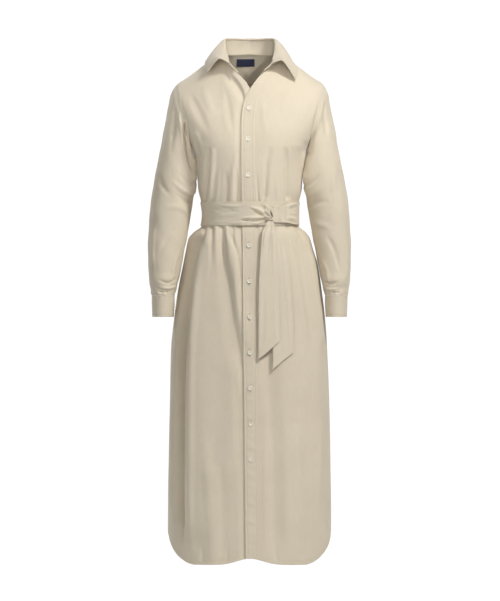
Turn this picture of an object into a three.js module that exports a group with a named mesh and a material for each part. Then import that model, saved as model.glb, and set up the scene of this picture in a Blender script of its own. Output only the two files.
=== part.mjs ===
import * as THREE from 'three';
import { mergeVertices } from 'three/addons/utils/BufferGeometryUtils.js';

// A belted shirt dress as it hangs when worn, with nobody in it. Millimetres.
// X runs across, front to back is Y, Z is up. The origin lies between the shoulders.
// The wearer's left front has its edge on top. It is on the +X side.

// Cloth walls and the gaps between pieces
const CLOTH = 1.8;
const DOUBLED = 2.2;
const STRIP = 1.2;
const LABEL = 0.8;
const SEAM_GAP = 0.3;
const LAP_GAP = 0.7;

// Levels of the body
const CHEST_Z = -215;
const BELT_FOOT_Z = -418;
const HEM_Z = -1257;
const CHEST_HALF = 146;
const SHOULDER_HALF = 180;
const RIDGE_Y = 4.5;
const ROUNDNESS = 2.2;

// How finely the surface is felt out for its normals, and how close to a side seam a back panel may start
const NORMAL_STEP = 0.004;
const SLEEVE_NORMAL_STEP = 0.02;
const SEAM_MARGIN = 1e-7;

// Half widths and depths of the body below the underarm, seen from above
const BODY_RINGS = columns(
  ['z', 'left', 'right', 'front', 'back'],
  [
    [-215, 146, 146, 118, 100],
    [-240, 139.5, 139.5, 116, 97],
    [-280, 132.5, 132.5, 111, 91],
    [-325, 129, 129, 103, 84],
    [-355, 122, 122, 98.5, 79.5],
    [-385, 118.5, 118.5, 96, 78],
    [-415, 121, 121, 97.5, 80.5],
    [-430, 140, 139, 104, 92],
    [-445, 153, 149, 108, 101],
    [-475, 160, 158, 112, 110],
    [-510, 167, 169, 116, 117],
    [-575, 180, 179, 120, 124],
    [-645, 189.5, 187.5, 122, 128],
    [-725, 197.5, 193, 125, 131],
    [-850, 200, 198, 130, 136],
    [-1000, 203, 201, 136, 142],
    [-1150, 205, 203, 142, 148],
    [-1257, 205, 203, 145, 151],
  ],
);

// Height of the shoulder line at each distance from the centre, and its rise between the neck points
const RIDGE = columns(
  ['x', 'z'],
  [[75, 12], [92, 2.5], [112, -10], [132, -25], [152, -40], [180, -58]],
);
const RIDGE_RISE = { front: 8, back: 25 };
const RIDGE_SPREAD = 109;

// How the chest and the back round over towards the shoulder line, and how deep the armholes are
const FRONT_ROUND = { centre: 2.6, side: 1.7, armDepth: 72 };
const BACK_ROUND = { centre: 2.8, side: 1.8, armDepth: 76 };
const ARM_BLEND = { start: 0.35, power: 1.4 };

// Fullness over the bust, shaped by the darts
const BUST = { depth: 12, x: 80, halfWidth: 45, z: -195, halfHeight: 60, sideFade: 0.7 };

// Folds: the fold runs through (x1, z1), (x2, z2), (x3, z3). It rises, or falls where negative,
// its flanks reach this far to the left and to the right, and it fades out over this length at its foot.
const FOLD_COLUMNS = ['face', 'x1', 'z1', 'x2', 'z2', 'x3', 'z3', 'rise', 'left', 'right', 'fade'];
const FOLDS = named(FOLD_COLUMNS, [
  ['front', -104, -424, -132, -575, -145, -1150, 8, 22, 60, 60],
  ['front', -126, -424, -160, -575, -179, -1100, -13, 30, 24, 60],
  ['front', -50, -424, -36, -540, -18, -670, 6, 14, 34, 60],
  ['front', -67, -424, -54, -575, -30, -730, -6, 36, 14, 60],
  ['front', 45, -620, 54, -850, 62, -1190, -7, 30, 30, 60],
  ['front', 108, -424, 132, -510, 158, -680, -6, 18, 24, 60],
  ['front', 128, -424, 152, -510, 178, -680, 5, 20, 18, 60],
  ['front', -95, -1000, -92, -1120, -90, -1250, 5, 26, 26, 60],
  ['front', 110, -900, 118, -1050, 124, -1250, 5, 34, 30, 60],
  ['front', -110, -343, -107, -285, -102, -225, -6, 12, 9, 9],
  ['front', -96, -343, -92, -290, -88, -238, 3, 9, 12, 9],
  ['front', -58, -343, -59, -310, -60, -268, -3, 9, 9, 9],
  ['front', 40, -343, 45, -285, 50, -212, -5, 10, 10, 9],
  ['front', 97, -343, 95, -285, 93, -218, -5, 11, 10, 9],
  ['back', -45, -343, -48, -290, -52, -230, -4, 12, 12, 9],
  ['back', 45, -343, 48, -290, 52, -230, -4, 12, 12, 9],
  ['back', -86, -343, -88, -295, -90, -245, -3, 12, 12, 9],
  ['back', 86, -343, 88, -295, 90, -245, -3, 12, 12, 9],
  ['back', -19, -343, -19, -200, -19, -56, -3, 9, 9, 9],
  ['back', 19, -343, 19, -200, 19, -56, -3, 9, 9, 9],
  ['back', -112, -424, -128, -620, -138, -1240, 8, 34, 40, 60],
  ['back', -40, -424, -46, -700, -52, -1240, -8, 34, 34, 60],
  ['back', 44, -424, 52, -700, 58, -1240, 8, 34, 34, 60],
  ['back', 118, -424, 132, -650, 142, -1240, -8, 34, 36, 60],
]);
const FOLD_TOP_FADE = 40;
const FOLD_SIDE_FADE = 0.9;

// Front edges: how far each edge lies from the centre line, towards its own side
const EDGE_UNDER = columns(
  ['z', 'x'],
  [[12, 75], [0, 68], [-19, 52], [-37, 30], [-53.5, 13.5], [-67, 4], [-74, 0], [-95, -8],
    [-120, -14], [-150, -15], [-1300, -15]],
);
const EDGE_OVER = columns(
  ['z', 'x'],
  [[12, 75], [0, 67], [-18, 53], [-30, 35], [-55, 14], [-74, 1], [-95, -10], [-119, -18], [-162, -22],
    [-350, -21], [-430, -19], [-650, -17.5], [-850, -15], [-1150, -12], [-1300, -10]],
);
const EDGE_SEARCH = { low: -0.4, high: 1 };

// The under front sinks below the over front's edge, between these distances outside it
const LAP = { topZ: -74, ease: 20, full: 8, outside: 18, inside: 5 };

// Grid lines of the panels. Sheet rows count from the shoulder line, 0, to the chest, 1.
const FRONT_SHEET_ROWS = [0, 0.07, 0.14, 0.22, 0.3, 0.38, 0.46, 0.54, 0.62, 0.69, 0.78, 0.88, 0.96, 1];
const WAIST_LEVELS = [-235, -260, -290, -325, -355, -385, -415];
const SKIRT_LEVELS = [-430, -450, -480, -520, -575, -640, -720, -810, -900, -990, -1080, -1150, -1210];
const PLACKET_WIDTH = 32.5;
const FRONT_COLUMNS = 12;
const BACK_CLOSE = 8;
const BACK_SHEET_SHARES = [1, 0.8, 0.6, 0.4, 0.22, 0.08];
const YOKE_SHARES = [0, 0.3, 0.6, 0.84, 1];
const YOKE_SEAM = { centre: 0.35, rise: 0.2 };
const NECK_HALF = 75;
const NECK_DEPTH_BACK = 54;
const YOKE_NECK_X = [71, 61, 47, 31, 16, 0];
const NECK_ROW_LIMIT = 0.9;
const NECK_TURN_LIMIT = 0.5;
const NECK_UP = 40;
const STAND_END_Z = -30;
const PLACKET_INSET = 0.5;

// Hem and side slits
const HEM = { centreRise: 16, centreHalf: 45, cornerRise: 100, cornerStart: 50 / 90, cornerPower: 1.8 };
const SLIT = columns(['z', 'halfGap'], [[-1300, 14], [-1150, 10], [-1080, 6], [-1000, 3], [-880, 0.01]]);
const QUARTER_ROUND = 275;

// Sleeves: a section runs from its outer point to its inner point, with a half depth before and behind
const SLEEVE_COLUMNS = ['at', 'outerX', 'outerZ', 'innerX', 'innerZ', 'front', 'back', 'y'];
const SLEEVE_LEFT_HAND = [
  [0, 180, -58, 146, -215, 72, 76, 4.5],
  [1, 195, -78, 144.5, -227, 70, 74, 4],
  [2, 204.5, -115, 142, -243, 64, 66, 3],
  [3, 213.5, -165, 138.5, -266, 60, 62, 2],
  [4, 224, -220, 136, -294, 57, 60, 1],
  [5, 235.5, -280, 139, -332, 55, 58, 0],
  [6, 246, -340, 146, -377, 53, 56, -2],
  [7, 252, -400, 154, -425, 51, 54, -7],
  [8, 255, -460, 163.5, -475, 48, 51, -13],
  [9, 254, -520, 173, -527, 45, 48, -20],
  [10, 250, -562, 181.5, -565, 42, 44, -26],
  [11, 245.5, -588.6, 188, -588.6, 38, 39, -29],
];
const SLEEVE_RIGHT_HAND = [
  [0, 180, -58, 146, -215, 72, 76, 4.5],
  [1, 193, -78, 144.5, -227, 70, 74, 4],
  [2, 200.5, -115, 142, -243, 64, 66, 3],
  [3, 211, -165, 138.5, -266, 60, 62, 2],
  [4, 220.5, -220, 136, -294, 57, 60, 1],
  [5, 232, -280, 138.5, -332, 55, 58, 0],
  [6, 243.5, -340, 145, -377, 53, 56, -2],
  [7, 249, -400, 153.5, -425, 51, 54, -7],
  [8, 252, -460, 163, -475, 48, 51, -13],
  [9, 251.5, -520, 173, -527, 45, 48, -20],
  [10, 248, -562, 181, -565, 42, 44, -26],
  [11, 243.5, -588.6, 187, -588.6, 38, 39, -29],
];
const SLEEVES = {
  left: columns(SLEEVE_COLUMNS, SLEEVE_LEFT_HAND),
  right: columns(SLEEVE_COLUMNS, SLEEVE_RIGHT_HAND),
};
const SLEEVE_SECTIONS = SLEEVE_LEFT_HAND.length - 1;

// Sleeve folds: where along the sleeve, where round it in degrees from its outer line by way of the front,
// and how far each reaches along and round
const SLEEVE_FOLDS = named(
  ['at', 'degrees', 'rise', 'along', 'round'],
  [
    [2.2, 62, -4, 1.3, 20],
    [4.8, 150, 3, 0.5, 55],
    [5.6, 140, -3, 0.5, 60],
    [6.5, 60, 3, 0.8, 40],
    [9.6, 100, 3, 0.5, 70],
    [10.3, 60, -2.5, 0.4, 70],
    [5.2, 215, -3, 0.6, 50],
    [9.8, 250, 3, 0.5, 60],
  ],
);

// Cuffs
const CUFF = {
  top: -588.9,
  foot: -642,
  rows: [0, 0.33, 0.67, 1],
  lap: 30,
  lapStart: 300,
  lapSpare: 0.4,
  turns: 28,
  flare: 1.2,
  inset: 1.5,
  drop: -3,
};

// Collar: top line of the stand, from the front end, at 0, to the centre back, at 1
const STAND_COLUMNS = ['at', 'x', 'y', 'z'];
const STAND_TOP = {
  left: columns(STAND_COLUMNS, [
    [0, -30, -104, -35], [0.16, -50, -92, -13], [0.3, -58, -66, 4], [0.42, -63, -34, 22],
    [0.54, -66, -6, 39], [0.68, -63, 20, 50], [0.84, -38, 47, 51], [1, 0, 57, 50],
  ]),
  right: columns(STAND_COLUMNS, [
    [0, 35, -104, -30], [0.16, 53, -92, -13.5], [0.3, 61, -66, 3], [0.42, 66, -34, 20],
    [0.54, 67, -6, 38], [0.68, 63, 20, 50], [0.84, 38, 47, 51], [1, 0, 57, 50],
  ]),
};
const STAND_ROWS = [0, 0.3, 0.65, 1];
const STAND_BULGE = 2;
const COLLAR_MIDDLE_Y = -10;

// Collar fall: over the roll by two guide points to the outer edge
const FALL_COLUMNS = ['at', 'riseX', 'riseY', 'riseZ', 'turnX', 'turnY', 'turnZ', 'edgeX', 'edgeY', 'edgeZ'];
const FALL = {
  left: columns(FALL_COLUMNS, [
    [0.16, -60, -100, 6, -87.5, -98, 9.5, -107.5, -75, -32],
    [0.3, -62, -70, 14, -88, -72, 18, -112, -52, -20],
    [0.42, -66, -35, 30, -88, -38, 30, -113, -30, -10],
    [0.54, -68, -5, 46, -88, -6, 38, -112, -8, -5],
    [0.68, -65, 22, 56, -84, 28, 44, -106, 20, -2],
    [0.84, -40, 52, 60, -55, 68, 50, -70, 66, -2],
    [1, 0, 58, 60, 0, 80, 52, 0, 84, -3],
  ]),
  right: columns(FALL_COLUMNS, [
    [0.16, 63, -100, 4, 94, -97, -2, 115, -72, -52],
    [0.3, 66, -70, 14, 92, -70, 12, 118, -50, -34],
    [0.42, 70, -36, 28, 91, -38, 26, 115, -30, -17],
    [0.54, 69, -5, 45, 87, -6, 36, 110, -8, -6],
    [0.68, 65, 22, 56, 83, 28, 44, 104, 20, -2],
    [0.84, 40, 52, 60, 55, 68, 50, 70, 66, -2],
    [1, 0, 58, 60, 0, 80, 52, 0, 84, -3],
  ]),
};
const FALL_START = 0.16;
const FALL_LIFT = 8;
const FALL_GAP = 0.7;
const FALL_MARGIN = 0.01;
const FALL_UP = 60;
const FALL_ROWS = [0, 0.09, 0.2, 0.32, 0.45, 0.6, 0.8, 1];

// Neck label, inside the yoke
const NECK_LABEL = { x: -9, halfWidth: 23, top: 4, foot: -15, clearance: 1, rows: 4, columns: 6 };

// Buttons
const BUTTON = { radius: 5.7, depth: 2.4, rim: 0.5, dish: 3.4, dishDepth: 0.7, sides: 12, clearance: 0.7 };
const BUTTON_LEVELS = { first: -123.5, second: -199, pitch: 88.5, count: 11 };
const BUTTON_FROM_EDGE = 16.25;
const CUFF_BUTTON_DEGREES = 318;

// Sash
const BELT = {
  levels: [-355, -385, -415],
  gap: 0.8,
  wall: 1.8,
  columns: 48,
  bump: 5,
  bumpX: -4,
  bumpHalf: 30,
};
const KNOT = {
  x: 45,
  z: -386,
  halfWidth: 13,
  halfHeight: 18,
  halfDepth: 7,
  power: 0.75,
  pinch: 0.25,
  gap: 0.5,
  around: 20,
  rows: 12,
};
const LOOP = {
  from: 60,
  to: 116,
  bend: 1.02,
  gap: 1.1,
  bow: 5,
  wall: 1.4,
  layers: 0.6,
  top: -358.5,
  foot: -412,
  steps: 8,
};
const FRONT_REACH = 0.95;
const TAIL_FRONT = named(
  ['z', 'left', 'right', 'off'],
  [
    [-404.4, 39, 51, 9.4], [-415, 34, 53, 12], [-430, 28, 57, 12], [-480, 25, 65, 10], [-560, 21, 71, 8.5],
    [-640, 20, 72, 8], [-700, 20, 72, 8],
  ],
);
const TAIL_FRONT_TIP = { left: -747, right: -702 };
const TAIL_BACK = named(
  ['z', 'left', 'right', 'off'],
  [
    [-408, 44, 58, 3.4], [-417, 45, 60, 3.8], [-430, 47, 67, 3.4], [-450, 50, 80, 4], [-540, 53, 97, 4],
    [-640, 54, 104, 4], [-700, 55, 106, 4],
  ],
);
const TAIL_BACK_TIP = { left: -772, right: -729 };
const TAIL_WALL = 2;
const TAIL_COLUMNS = 5;

// Finishes
const COTTON = new THREE.MeshStandardMaterial({ color: 0xd8ccb2, roughness: 0.9, metalness: 0 });
const FACING = new THREE.MeshStandardMaterial({ color: 0xd2c5a8, roughness: 0.9, metalness: 0 });
const SHELL = new THREE.MeshStandardMaterial({ color: 0xe6dfcc, roughness: 0.35, metalness: 0 });
const NAVY = new THREE.MeshStandardMaterial({ color: 0x1a2140, roughness: 0.8, metalness: 0 });

// Small helpers

function lerp(a, b, share) {
  return a + (b - a) * share;
}

function clamp(value, low, high) {
  return Math.min(high, Math.max(low, value));
}

function smooth(start, end, value) {
  const share = clamp((value - start) / (end - start), 0, 1);
  return share * share * (3 - 2 * share);
}

function bell(distance, left, right) {
  const flank = distance < 0 ? left : right;
  const share = Math.abs(distance) / flank;
  return share >= 1 ? 0 : 0.5 * (1 + Math.cos(Math.PI * share));
}

// A smooth curve through values that never overshoots them
function curveThrough(xs, ys) {
  const count = xs.length;
  const secant = xs.slice(1).map((x, i) => (ys[i + 1] - ys[i]) / (x - xs[i]));
  const slope = xs.map((_, i) => {
    if (i === 0) return secant[0];
    if (i === count - 1) return secant[count - 2];
    if (secant[i - 1] * secant[i] <= 0) return 0;
    const before = xs[i] - xs[i - 1];
    const after = xs[i + 1] - xs[i];
    const w1 = 2 * after + before;
    const w2 = after + 2 * before;
    return (w1 + w2) / (w1 / secant[i - 1] + w2 / secant[i]);
  });
  return (value) => {
    const x = clamp(value, xs[0], xs[count - 1]);
    let i = 0;
    while (i < count - 2 && x > xs[i + 1]) i += 1;
    const width = xs[i + 1] - xs[i];
    const t = (x - xs[i]) / width;
    const rest = 1 - t;
    return (
      ys[i] * rest * rest * (1 + 2 * t)
      + ys[i + 1] * t * t * (3 - 2 * t)
      + width * slope[i] * t * rest * rest
      - width * slope[i + 1] * t * t * rest
    );
  };
}

// A table whose first column is the key: each other column becomes a smooth curve over it
function columns(names, rows) {
  const sorted = [...rows].sort((a, b) => a[0] - b[0]);
  const keys = sorted.map((row) => row[0]);
  const curves = {};
  names.slice(1).forEach((name, i) => {
    curves[name] = curveThrough(keys, sorted.map((row) => row[i + 1]));
  });
  return curves;
}

// A table as a list of records
function named(names, rows) {
  return rows.map((row) => Object.fromEntries(names.map((name, i) => [name, row[i]])));
}

// The root of a rising function
function rootOf(f, low, high) {
  let a = low;
  let b = high;
  for (let i = 0; i < 50; i += 1) {
    const middle = (a + b) / 2;
    if (f(middle) > 0) b = middle;
    else a = middle;
  }
  return (a + b) / 2;
}

// The body as one surface. A turn runs from 0 at the centre front to 1 or -1 at the sides and 2 at the centre
// back. A row runs from 0 on the shoulder line to 1 at the chest, 2 under the sash and 3 at the hem.

function hemLevel(turn, x) {
  const side = Math.abs(turn) <= 1 ? Math.abs(turn) : 2 - Math.abs(turn);
  const centre = HEM.centreRise * Math.exp(-((x / HEM.centreHalf) ** 2));
  const corner = Math.max(0, (side - HEM.cornerStart) / (1 - HEM.cornerStart));
  return HEM_Z + centre + HEM.cornerRise * corner ** HEM.cornerPower;
}

function roundedRing(turn, side, depth, z) {
  const angle = (turn * Math.PI) / 2;
  const sine = Math.sin(angle);
  const cosine = Math.cos(angle);
  const sum = Math.abs(cosine / depth) ** ROUNDNESS + Math.abs(sine / side) ** ROUNDNESS;
  const radius = sum ** (-1 / ROUNDNESS);
  return new THREE.Vector3(radius * sine, -radius * cosine, z);
}

function ringPoint(turn, z) {
  const side = turn >= 0 ? BODY_RINGS.right(z) : BODY_RINGS.left(z);
  const depth = Math.abs(turn) <= 1 ? BODY_RINGS.front(z) : BODY_RINGS.back(z);
  return roundedRing(turn, side, depth, z);
}

function ridgeHeight(x, isFront) {
  const inside = Math.min(1, x / NECK_HALF);
  return RIDGE.z(x) + (isFront ? RIDGE_RISE.front : RIDGE_RISE.back) * (1 - inside * inside);
}

function sheetPoint(turn, row) {
  const isFront = Math.abs(turn) <= 1;
  const side = isFront ? Math.abs(turn) : 2 - Math.abs(turn);
  const round = isFront ? FRONT_ROUND : BACK_ROUND;
  const base = ringPoint(turn, CHEST_Z);
  const climb = ((1 - row) * Math.PI) / 2;
  const power = 2 / lerp(round.centre, round.side, side);
  const share = Math.sin(climb) ** power;
  const topX = roundedRing(turn, SHOULDER_HALF, RIDGE_SPREAD * (SHOULDER_HALF / CHEST_HALF), 0).x;
  const topZ = ridgeHeight(Math.abs(topX), isFront);
  const armShare = clamp((side - ARM_BLEND.start) / (1 - ARM_BLEND.start), 0, 1) ** ARM_BLEND.power;
  const armReach = armShare * round.armDepth * Math.sqrt(Math.max(0, 1 - (1 - 2 * share) ** 2));
  const lean = Math.max(0, Math.cos(climb)) ** power;
  const y = RIDGE_Y + (base.y - RIDGE_Y) * lean + (isFront ? -armReach : armReach);
  return new THREE.Vector3(lerp(base.x, topX, share), y, lerp(CHEST_Z, topZ, share));
}

function foldHeight(face, x, z) {
  let height = 0;
  for (const fold of FOLDS) {
    if (fold.face !== face) continue;
    const high = Math.max(fold.z1, fold.z3);
    const low = Math.min(fold.z1, fold.z3);
    if (z > high || z < low - fold.fade) continue;
    const line = fold.curve;
    const fadeTop = smooth(high, high - FOLD_TOP_FADE, z);
    const fadeFoot = smooth(low - fold.fade, low, z);
    height += fold.rise * fadeTop * fadeFoot * bell(x - line(z), fold.left, fold.right);
  }
  return height;
}

function bodyPoint(anyTurn, row) {
  let turn = anyTurn;
  if (row < 0) return bodyPoint((turn < 0 ? -2 : 2) - turn, -row);
  if (turn > 2) turn -= 4;
  if (turn < -2) turn += 4;
  let point;
  if (row < 1) {
    point = sheetPoint(turn, row);
  } else if (row <= 2) {
    point = ringPoint(turn, lerp(CHEST_Z, BELT_FOOT_Z, row - 1));
  } else {
    const foot = hemLevel(turn, ringPoint(turn, HEM_Z).x);
    point = ringPoint(turn, lerp(BELT_FOOT_Z, foot, row - 2));
  }
  const isFront = Math.abs(turn) <= 1;
  const side = isFront ? Math.abs(turn) : 2 - Math.abs(turn);
  const nearSeam = smooth(1, FOLD_SIDE_FADE, side);
  const angle = (turn * Math.PI) / 2;
  const out = new THREE.Vector3(Math.sin(angle), -Math.cos(angle), 0);
  const fold = nearSeam * foldHeight(isFront ? 'front' : 'back', point.x, point.z);
  point.addScaledVector(out, fold);
  if (isFront) {
    const across = ((Math.abs(point.x) - BUST.x) / BUST.halfWidth) ** 2;
    const along = ((point.z - BUST.z) / BUST.halfHeight) ** 2;
    point.y -= smooth(1, BUST.sideFade, side) * BUST.depth * Math.exp(-(across + along) / 2);
  }
  return point;
}

// Above the chest the front and the back meet at an angle, so a normal there is felt out on its own side
function bodyNormal(turn, row) {
  let low = turn - NORMAL_STEP;
  let high = turn + NORMAL_STEP;
  if (row < 1 && Math.abs(turn) <= 1) {
    low = Math.max(low, -1);
    high = Math.min(high, 1);
  } else if (row < 1) {
    low = Math.max(low, 1 + SEAM_MARGIN);
    high = Math.min(high, 3 - SEAM_MARGIN);
  }
  const across = bodyPoint(high, row).sub(bodyPoint(low, row));
  const footRow = Math.min(3, row + NORMAL_STEP);
  const down = bodyPoint(turn, footRow).sub(bodyPoint(turn, row - NORMAL_STEP));
  return down.cross(across).normalize();
}

function rowAtLevel(z) {
  if (z >= BELT_FOOT_Z) return 1 + (CHEST_Z - z) / (CHEST_Z - BELT_FOOT_Z);
  return 2 + (BELT_FOOT_Z - z) / (BELT_FOOT_Z - HEM_Z);
}

const LOWER_ROWS = [...WAIST_LEVELS, ...SKIRT_LEVELS].map(rowAtLevel).concat([3]);

for (const fold of FOLDS) {
  const points = [[fold.z1, fold.x1], [fold.z2, fold.x2], [fold.z3, fold.x3]].sort((a, b) => a[0] - b[0]);
  fold.curve = curveThrough(points.map((p) => p[0]), points.map((p) => p[1]));
}

// Cloth walls. A panel is a grid of vertices, each a point on the outer face and the way the cloth faces there.

function vertexOn(turn, row) {
  return { point: bodyPoint(turn, row), normal: bodyNormal(turn, row) };
}

// Half the seam gap, taken off a run of vertices along the seam, square to the cloth
function trim(run, toward) {
  const shifts = run.map((vertex, i) => {
    const before = run[Math.max(0, i - 1)].point;
    const after = run[Math.min(run.length - 1, i + 1)].point;
    const along = after.clone().sub(before);
    const across = along.cross(vertex.normal).normalize();
    const target = typeof toward === 'function' ? toward(vertex.point) : toward;
    return across.multiplyScalar((across.dot(target) > 0 ? -1 : 1) * (SEAM_GAP / 2));
  });
  run.forEach((vertex, i) => {
    vertex.point = vertex.point.clone().add(shifts[i]);
  });
}

function wall(grid, thickness, closed = false) {
  const rowCount = grid.length;
  const width = grid[0].length;
  const vertices = [];
  for (const depth of [0, thickness]) {
    for (const row of grid) {
      for (const { point, normal } of row) {
        vertices.push(point.clone().addScaledVector(normal, -depth));
      }
    }
  }
  const half = rowCount * width;
  const faces = [];
  const addQuad = (a, b, c, d) => {
    const first = vertices[a].distanceTo(vertices[c]);
    const second = vertices[b].distanceTo(vertices[d]);
    if (first <= second) faces.push([a, b, c], [a, c, d]);
    else faces.push([a, b, d], [b, c, d]);
  };
  const lastColumn = closed ? width : width - 1;
  for (let r = 0; r < rowCount - 1; r += 1) {
    for (let c = 0; c < lastColumn; c += 1) {
      const a = r * width + c;
      const b = r * width + ((c + 1) % width);
      const d = a + width;
      const e = b + width;
      addQuad(a, d, e, b);
      addQuad(half + a, half + b, half + e, half + d);
    }
  }
  for (let c = 0; c < lastColumn; c += 1) {
    const next = (c + 1) % width;
    const foot = (rowCount - 1) * width;
    addQuad(c, next, half + next, half + c);
    addQuad(foot + c, half + foot + c, half + foot + next, foot + next);
  }
  if (!closed) {
    for (let r = 0; r < rowCount - 1; r += 1) {
      const a = r * width;
      const b = a + width;
      addQuad(a, half + a, half + b, b);
      addQuad(a + width - 1, b + width - 1, half + b + width - 1, half + a + width - 1);
    }
  }
  return solidFrom(vertices, faces);
}

// A geometry from vertices and faces, turned so that its faces point out
function solidFrom(vertices, faces) {
  let volume = 0;
  for (const [a, b, c] of faces) {
    volume += vertices[a].dot(vertices[b].clone().cross(vertices[c]));
  }
  const order = volume > 0 ? faces : faces.map(([a, b, c]) => [a, c, b]);
  const geometry = new THREE.BufferGeometry();
  geometry.setAttribute('position', new THREE.Float32BufferAttribute(vertices.flatMap((v) => v.toArray()), 3));
  geometry.setIndex(order.flat());
  geometry.computeVertexNormals();
  return geometry;
}

// Normals of a grid that is given by points alone
function withNormals(points, outward) {
  return points.map((row, r) => row.map((point, c) => {
    const left = row[Math.max(0, c - 1)];
    const right = row[Math.min(row.length - 1, c + 1)];
    const above = points[Math.max(0, r - 1)][c];
    const below = points[Math.min(points.length - 1, r + 1)][c];
    const normal = right.clone().sub(left).cross(below.clone().sub(above)).normalize();
    if (normal.dot(outward(point, r, c)) < 0) normal.negate();
    return { point, normal };
  }));
}

// Armholes: the seam faces away from the middle of the opening all round

function armholeNormal(point, sideSign) {
  const top = new THREE.Vector3(sideSign * SHOULDER_HALF, RIDGE_Y, RIDGE.z(SHOULDER_HALF));
  const foot = new THREE.Vector3(sideSign * CHEST_HALF, 0, CHEST_Z);
  const middle = top.clone().add(foot).multiplyScalar(0.5);
  const axis = top.sub(foot).normalize();
  const off = point.clone().sub(middle);
  const along = off.dot(axis);
  const y = off.y;
  return axis.multiplyScalar(along).add(new THREE.Vector3(0, y, 0)).normalize();
}

// Fronts

function edgeTurn(edge, sideSign, row, offset) {
  const gap = (turn) => {
    const point = bodyPoint(sideSign * turn, row);
    return sideSign * point.x - edge.x(point.z) - offset;
  };
  return rootOf(gap, EDGE_SEARCH.low, EDGE_SEARCH.high);
}

function slitTurn(row) {
  const z = bodyPoint(1, row).z;
  return row > 2 ? 1 - SLIT.halfGap(z) / QUARTER_ROUND : 1;
}

function frontGrid(edge, sideSign) {
  const rows = [...FRONT_SHEET_ROWS, ...LOWER_ROWS];
  return rows.map((row) => {
    const start = edgeTurn(edge, sideSign, row, 0);
    const middle = edgeTurn(edge, sideSign, row, PLACKET_WIDTH / 2);
    const strip = edgeTurn(edge, sideSign, row, PLACKET_WIDTH);
    const end = slitTurn(row);
    const turns = [start, middle];
    for (let i = 0; i <= FRONT_COLUMNS; i += 1) turns.push(lerp(strip, end, i / FRONT_COLUMNS));
    return turns.map((turn) => ({ ...vertexOn(sideSign * turn, row), turn, row }));
  });
}

function sinkUnderLap(grid) {
  for (const row of grid) {
    for (const vertex of row) {
      const { point, normal } = vertex;
      const overEdge = -EDGE_OVER.x(point.z);
      const across = smooth(overEdge + LAP.outside, overEdge + LAP.inside, -point.x);
      const down = smooth(LAP.topZ + LAP.ease, LAP.topZ + LAP.full, point.z);
      point.addScaledVector(normal, -across * down * (CLOTH + LAP_GAP));
    }
  }
}

function finishFront(grid, sideSign, standEnd) {
  const chestIndex = FRONT_SHEET_ROWS.length - 1;
  const armhole = grid.slice(0, chestIndex + 1).map((row) => row[row.length - 1]);
  for (const vertex of armhole) vertex.normal = armholeNormal(vertex.point, sideSign);
  const seams = {
    shoulder: grid[0].map(copyOf),
    armhole: armhole.map(copyOf),
    neckline: grid.slice(0, standEnd + 1).map((row) => copyOf(row[0])),
  };
  const sideRun = grid.slice(chestIndex).map((row) => row[row.length - 1]);
  const neckRun = grid.slice(0, standEnd + 1).map((row) => row[0]);
  trim(grid[0], new THREE.Vector3(0, 1, 0));
  trim(armhole, new THREE.Vector3(sideSign, 0, 0));
  trim(sideRun, new THREE.Vector3(0, 1, 0));
  trim(neckRun, towardNeck);
  return seams;
}

function towardNeck(point) {
  return new THREE.Vector3(-point.x, -point.y, NECK_UP);
}

function copyOf(vertex) {
  return { ...vertex, point: vertex.point.clone(), normal: vertex.normal.clone() };
}

// Back and yoke

function yokeSeamRow(turn) {
  const side = 2 - Math.abs(turn > 2 ? 4 - turn : turn);
  return 1 - (YOKE_SEAM.centre + YOKE_SEAM.rise * side * side);
}

// The back shares the yoke's grid lines near the armholes and every second one between
function backGrid(yokeTurns) {
  const last = yokeTurns.length - 1;
  const turns = yokeTurns.filter((_, i) => i % 2 === 0 || i < BACK_CLOSE || i > last - BACK_CLOSE);
  const sheet = BACK_SHEET_SHARES.map((share) => (
    turns.map((turn) => vertexOn(turn, lerp(1, yokeSeamRow(turn), share)))
  ));
  const lower = [1, ...LOWER_ROWS].map((row) => (
    turns.map((turn) => vertexOn(2 + (turn - 2) * slitTurn(row), row))
  ));
  return [...sheet, ...lower];
}

function range(count) {
  return Array.from({ length: count + 1 }, (_, i) => i);
}

function finishBack(grid) {
  const chestIndex = BACK_SHEET_SHARES.length;
  const last = grid[0].length - 1;
  const seams = { armhole: {} };
  const sides = [{ name: 'right', column: 0, sign: 1 }, { name: 'left', column: last, sign: -1 }];
  for (const { name, column, sign } of sides) {
    const armhole = grid.slice(0, chestIndex + 1).map((row) => row[column]);
    for (const vertex of armhole) vertex.normal = armholeNormal(vertex.point, sign);
    seams.armhole[name] = armhole.map(copyOf);
    const sideRun = grid.slice(chestIndex).map((row) => row[column]);
    trim(armhole, new THREE.Vector3(sign, 0, 0));
    trim(sideRun, new THREE.Vector3(0, -1, 0));
  }
  trim(grid[0], new THREE.Vector3(0, 0, 1));
  return seams;
}

function neckRow(turn) {
  const topX = Math.abs(sheetPoint(turn > 2 ? turn - 4 : turn, 0).x);
  if (topX >= NECK_HALF - SEAM_MARGIN) return 0;
  const gap = (row) => {
    const point = bodyPoint(turn, row);
    const share = Math.min(1, Math.abs(point.x) / NECK_HALF);
    return point.y - (RIDGE_Y + NECK_DEPTH_BACK * Math.sqrt(1 - share * share));
  };
  return rootOf(gap, 0, NECK_ROW_LIMIT);
}

function turnForNeckX(x) {
  return rootOf((turn) => neckPointX(turn) - x, 0, NECK_TURN_LIMIT);
}

function neckPointX(side) {
  const turn = 2 - side;
  return bodyPoint(turn, neckRow(turn)).x;
}

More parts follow.
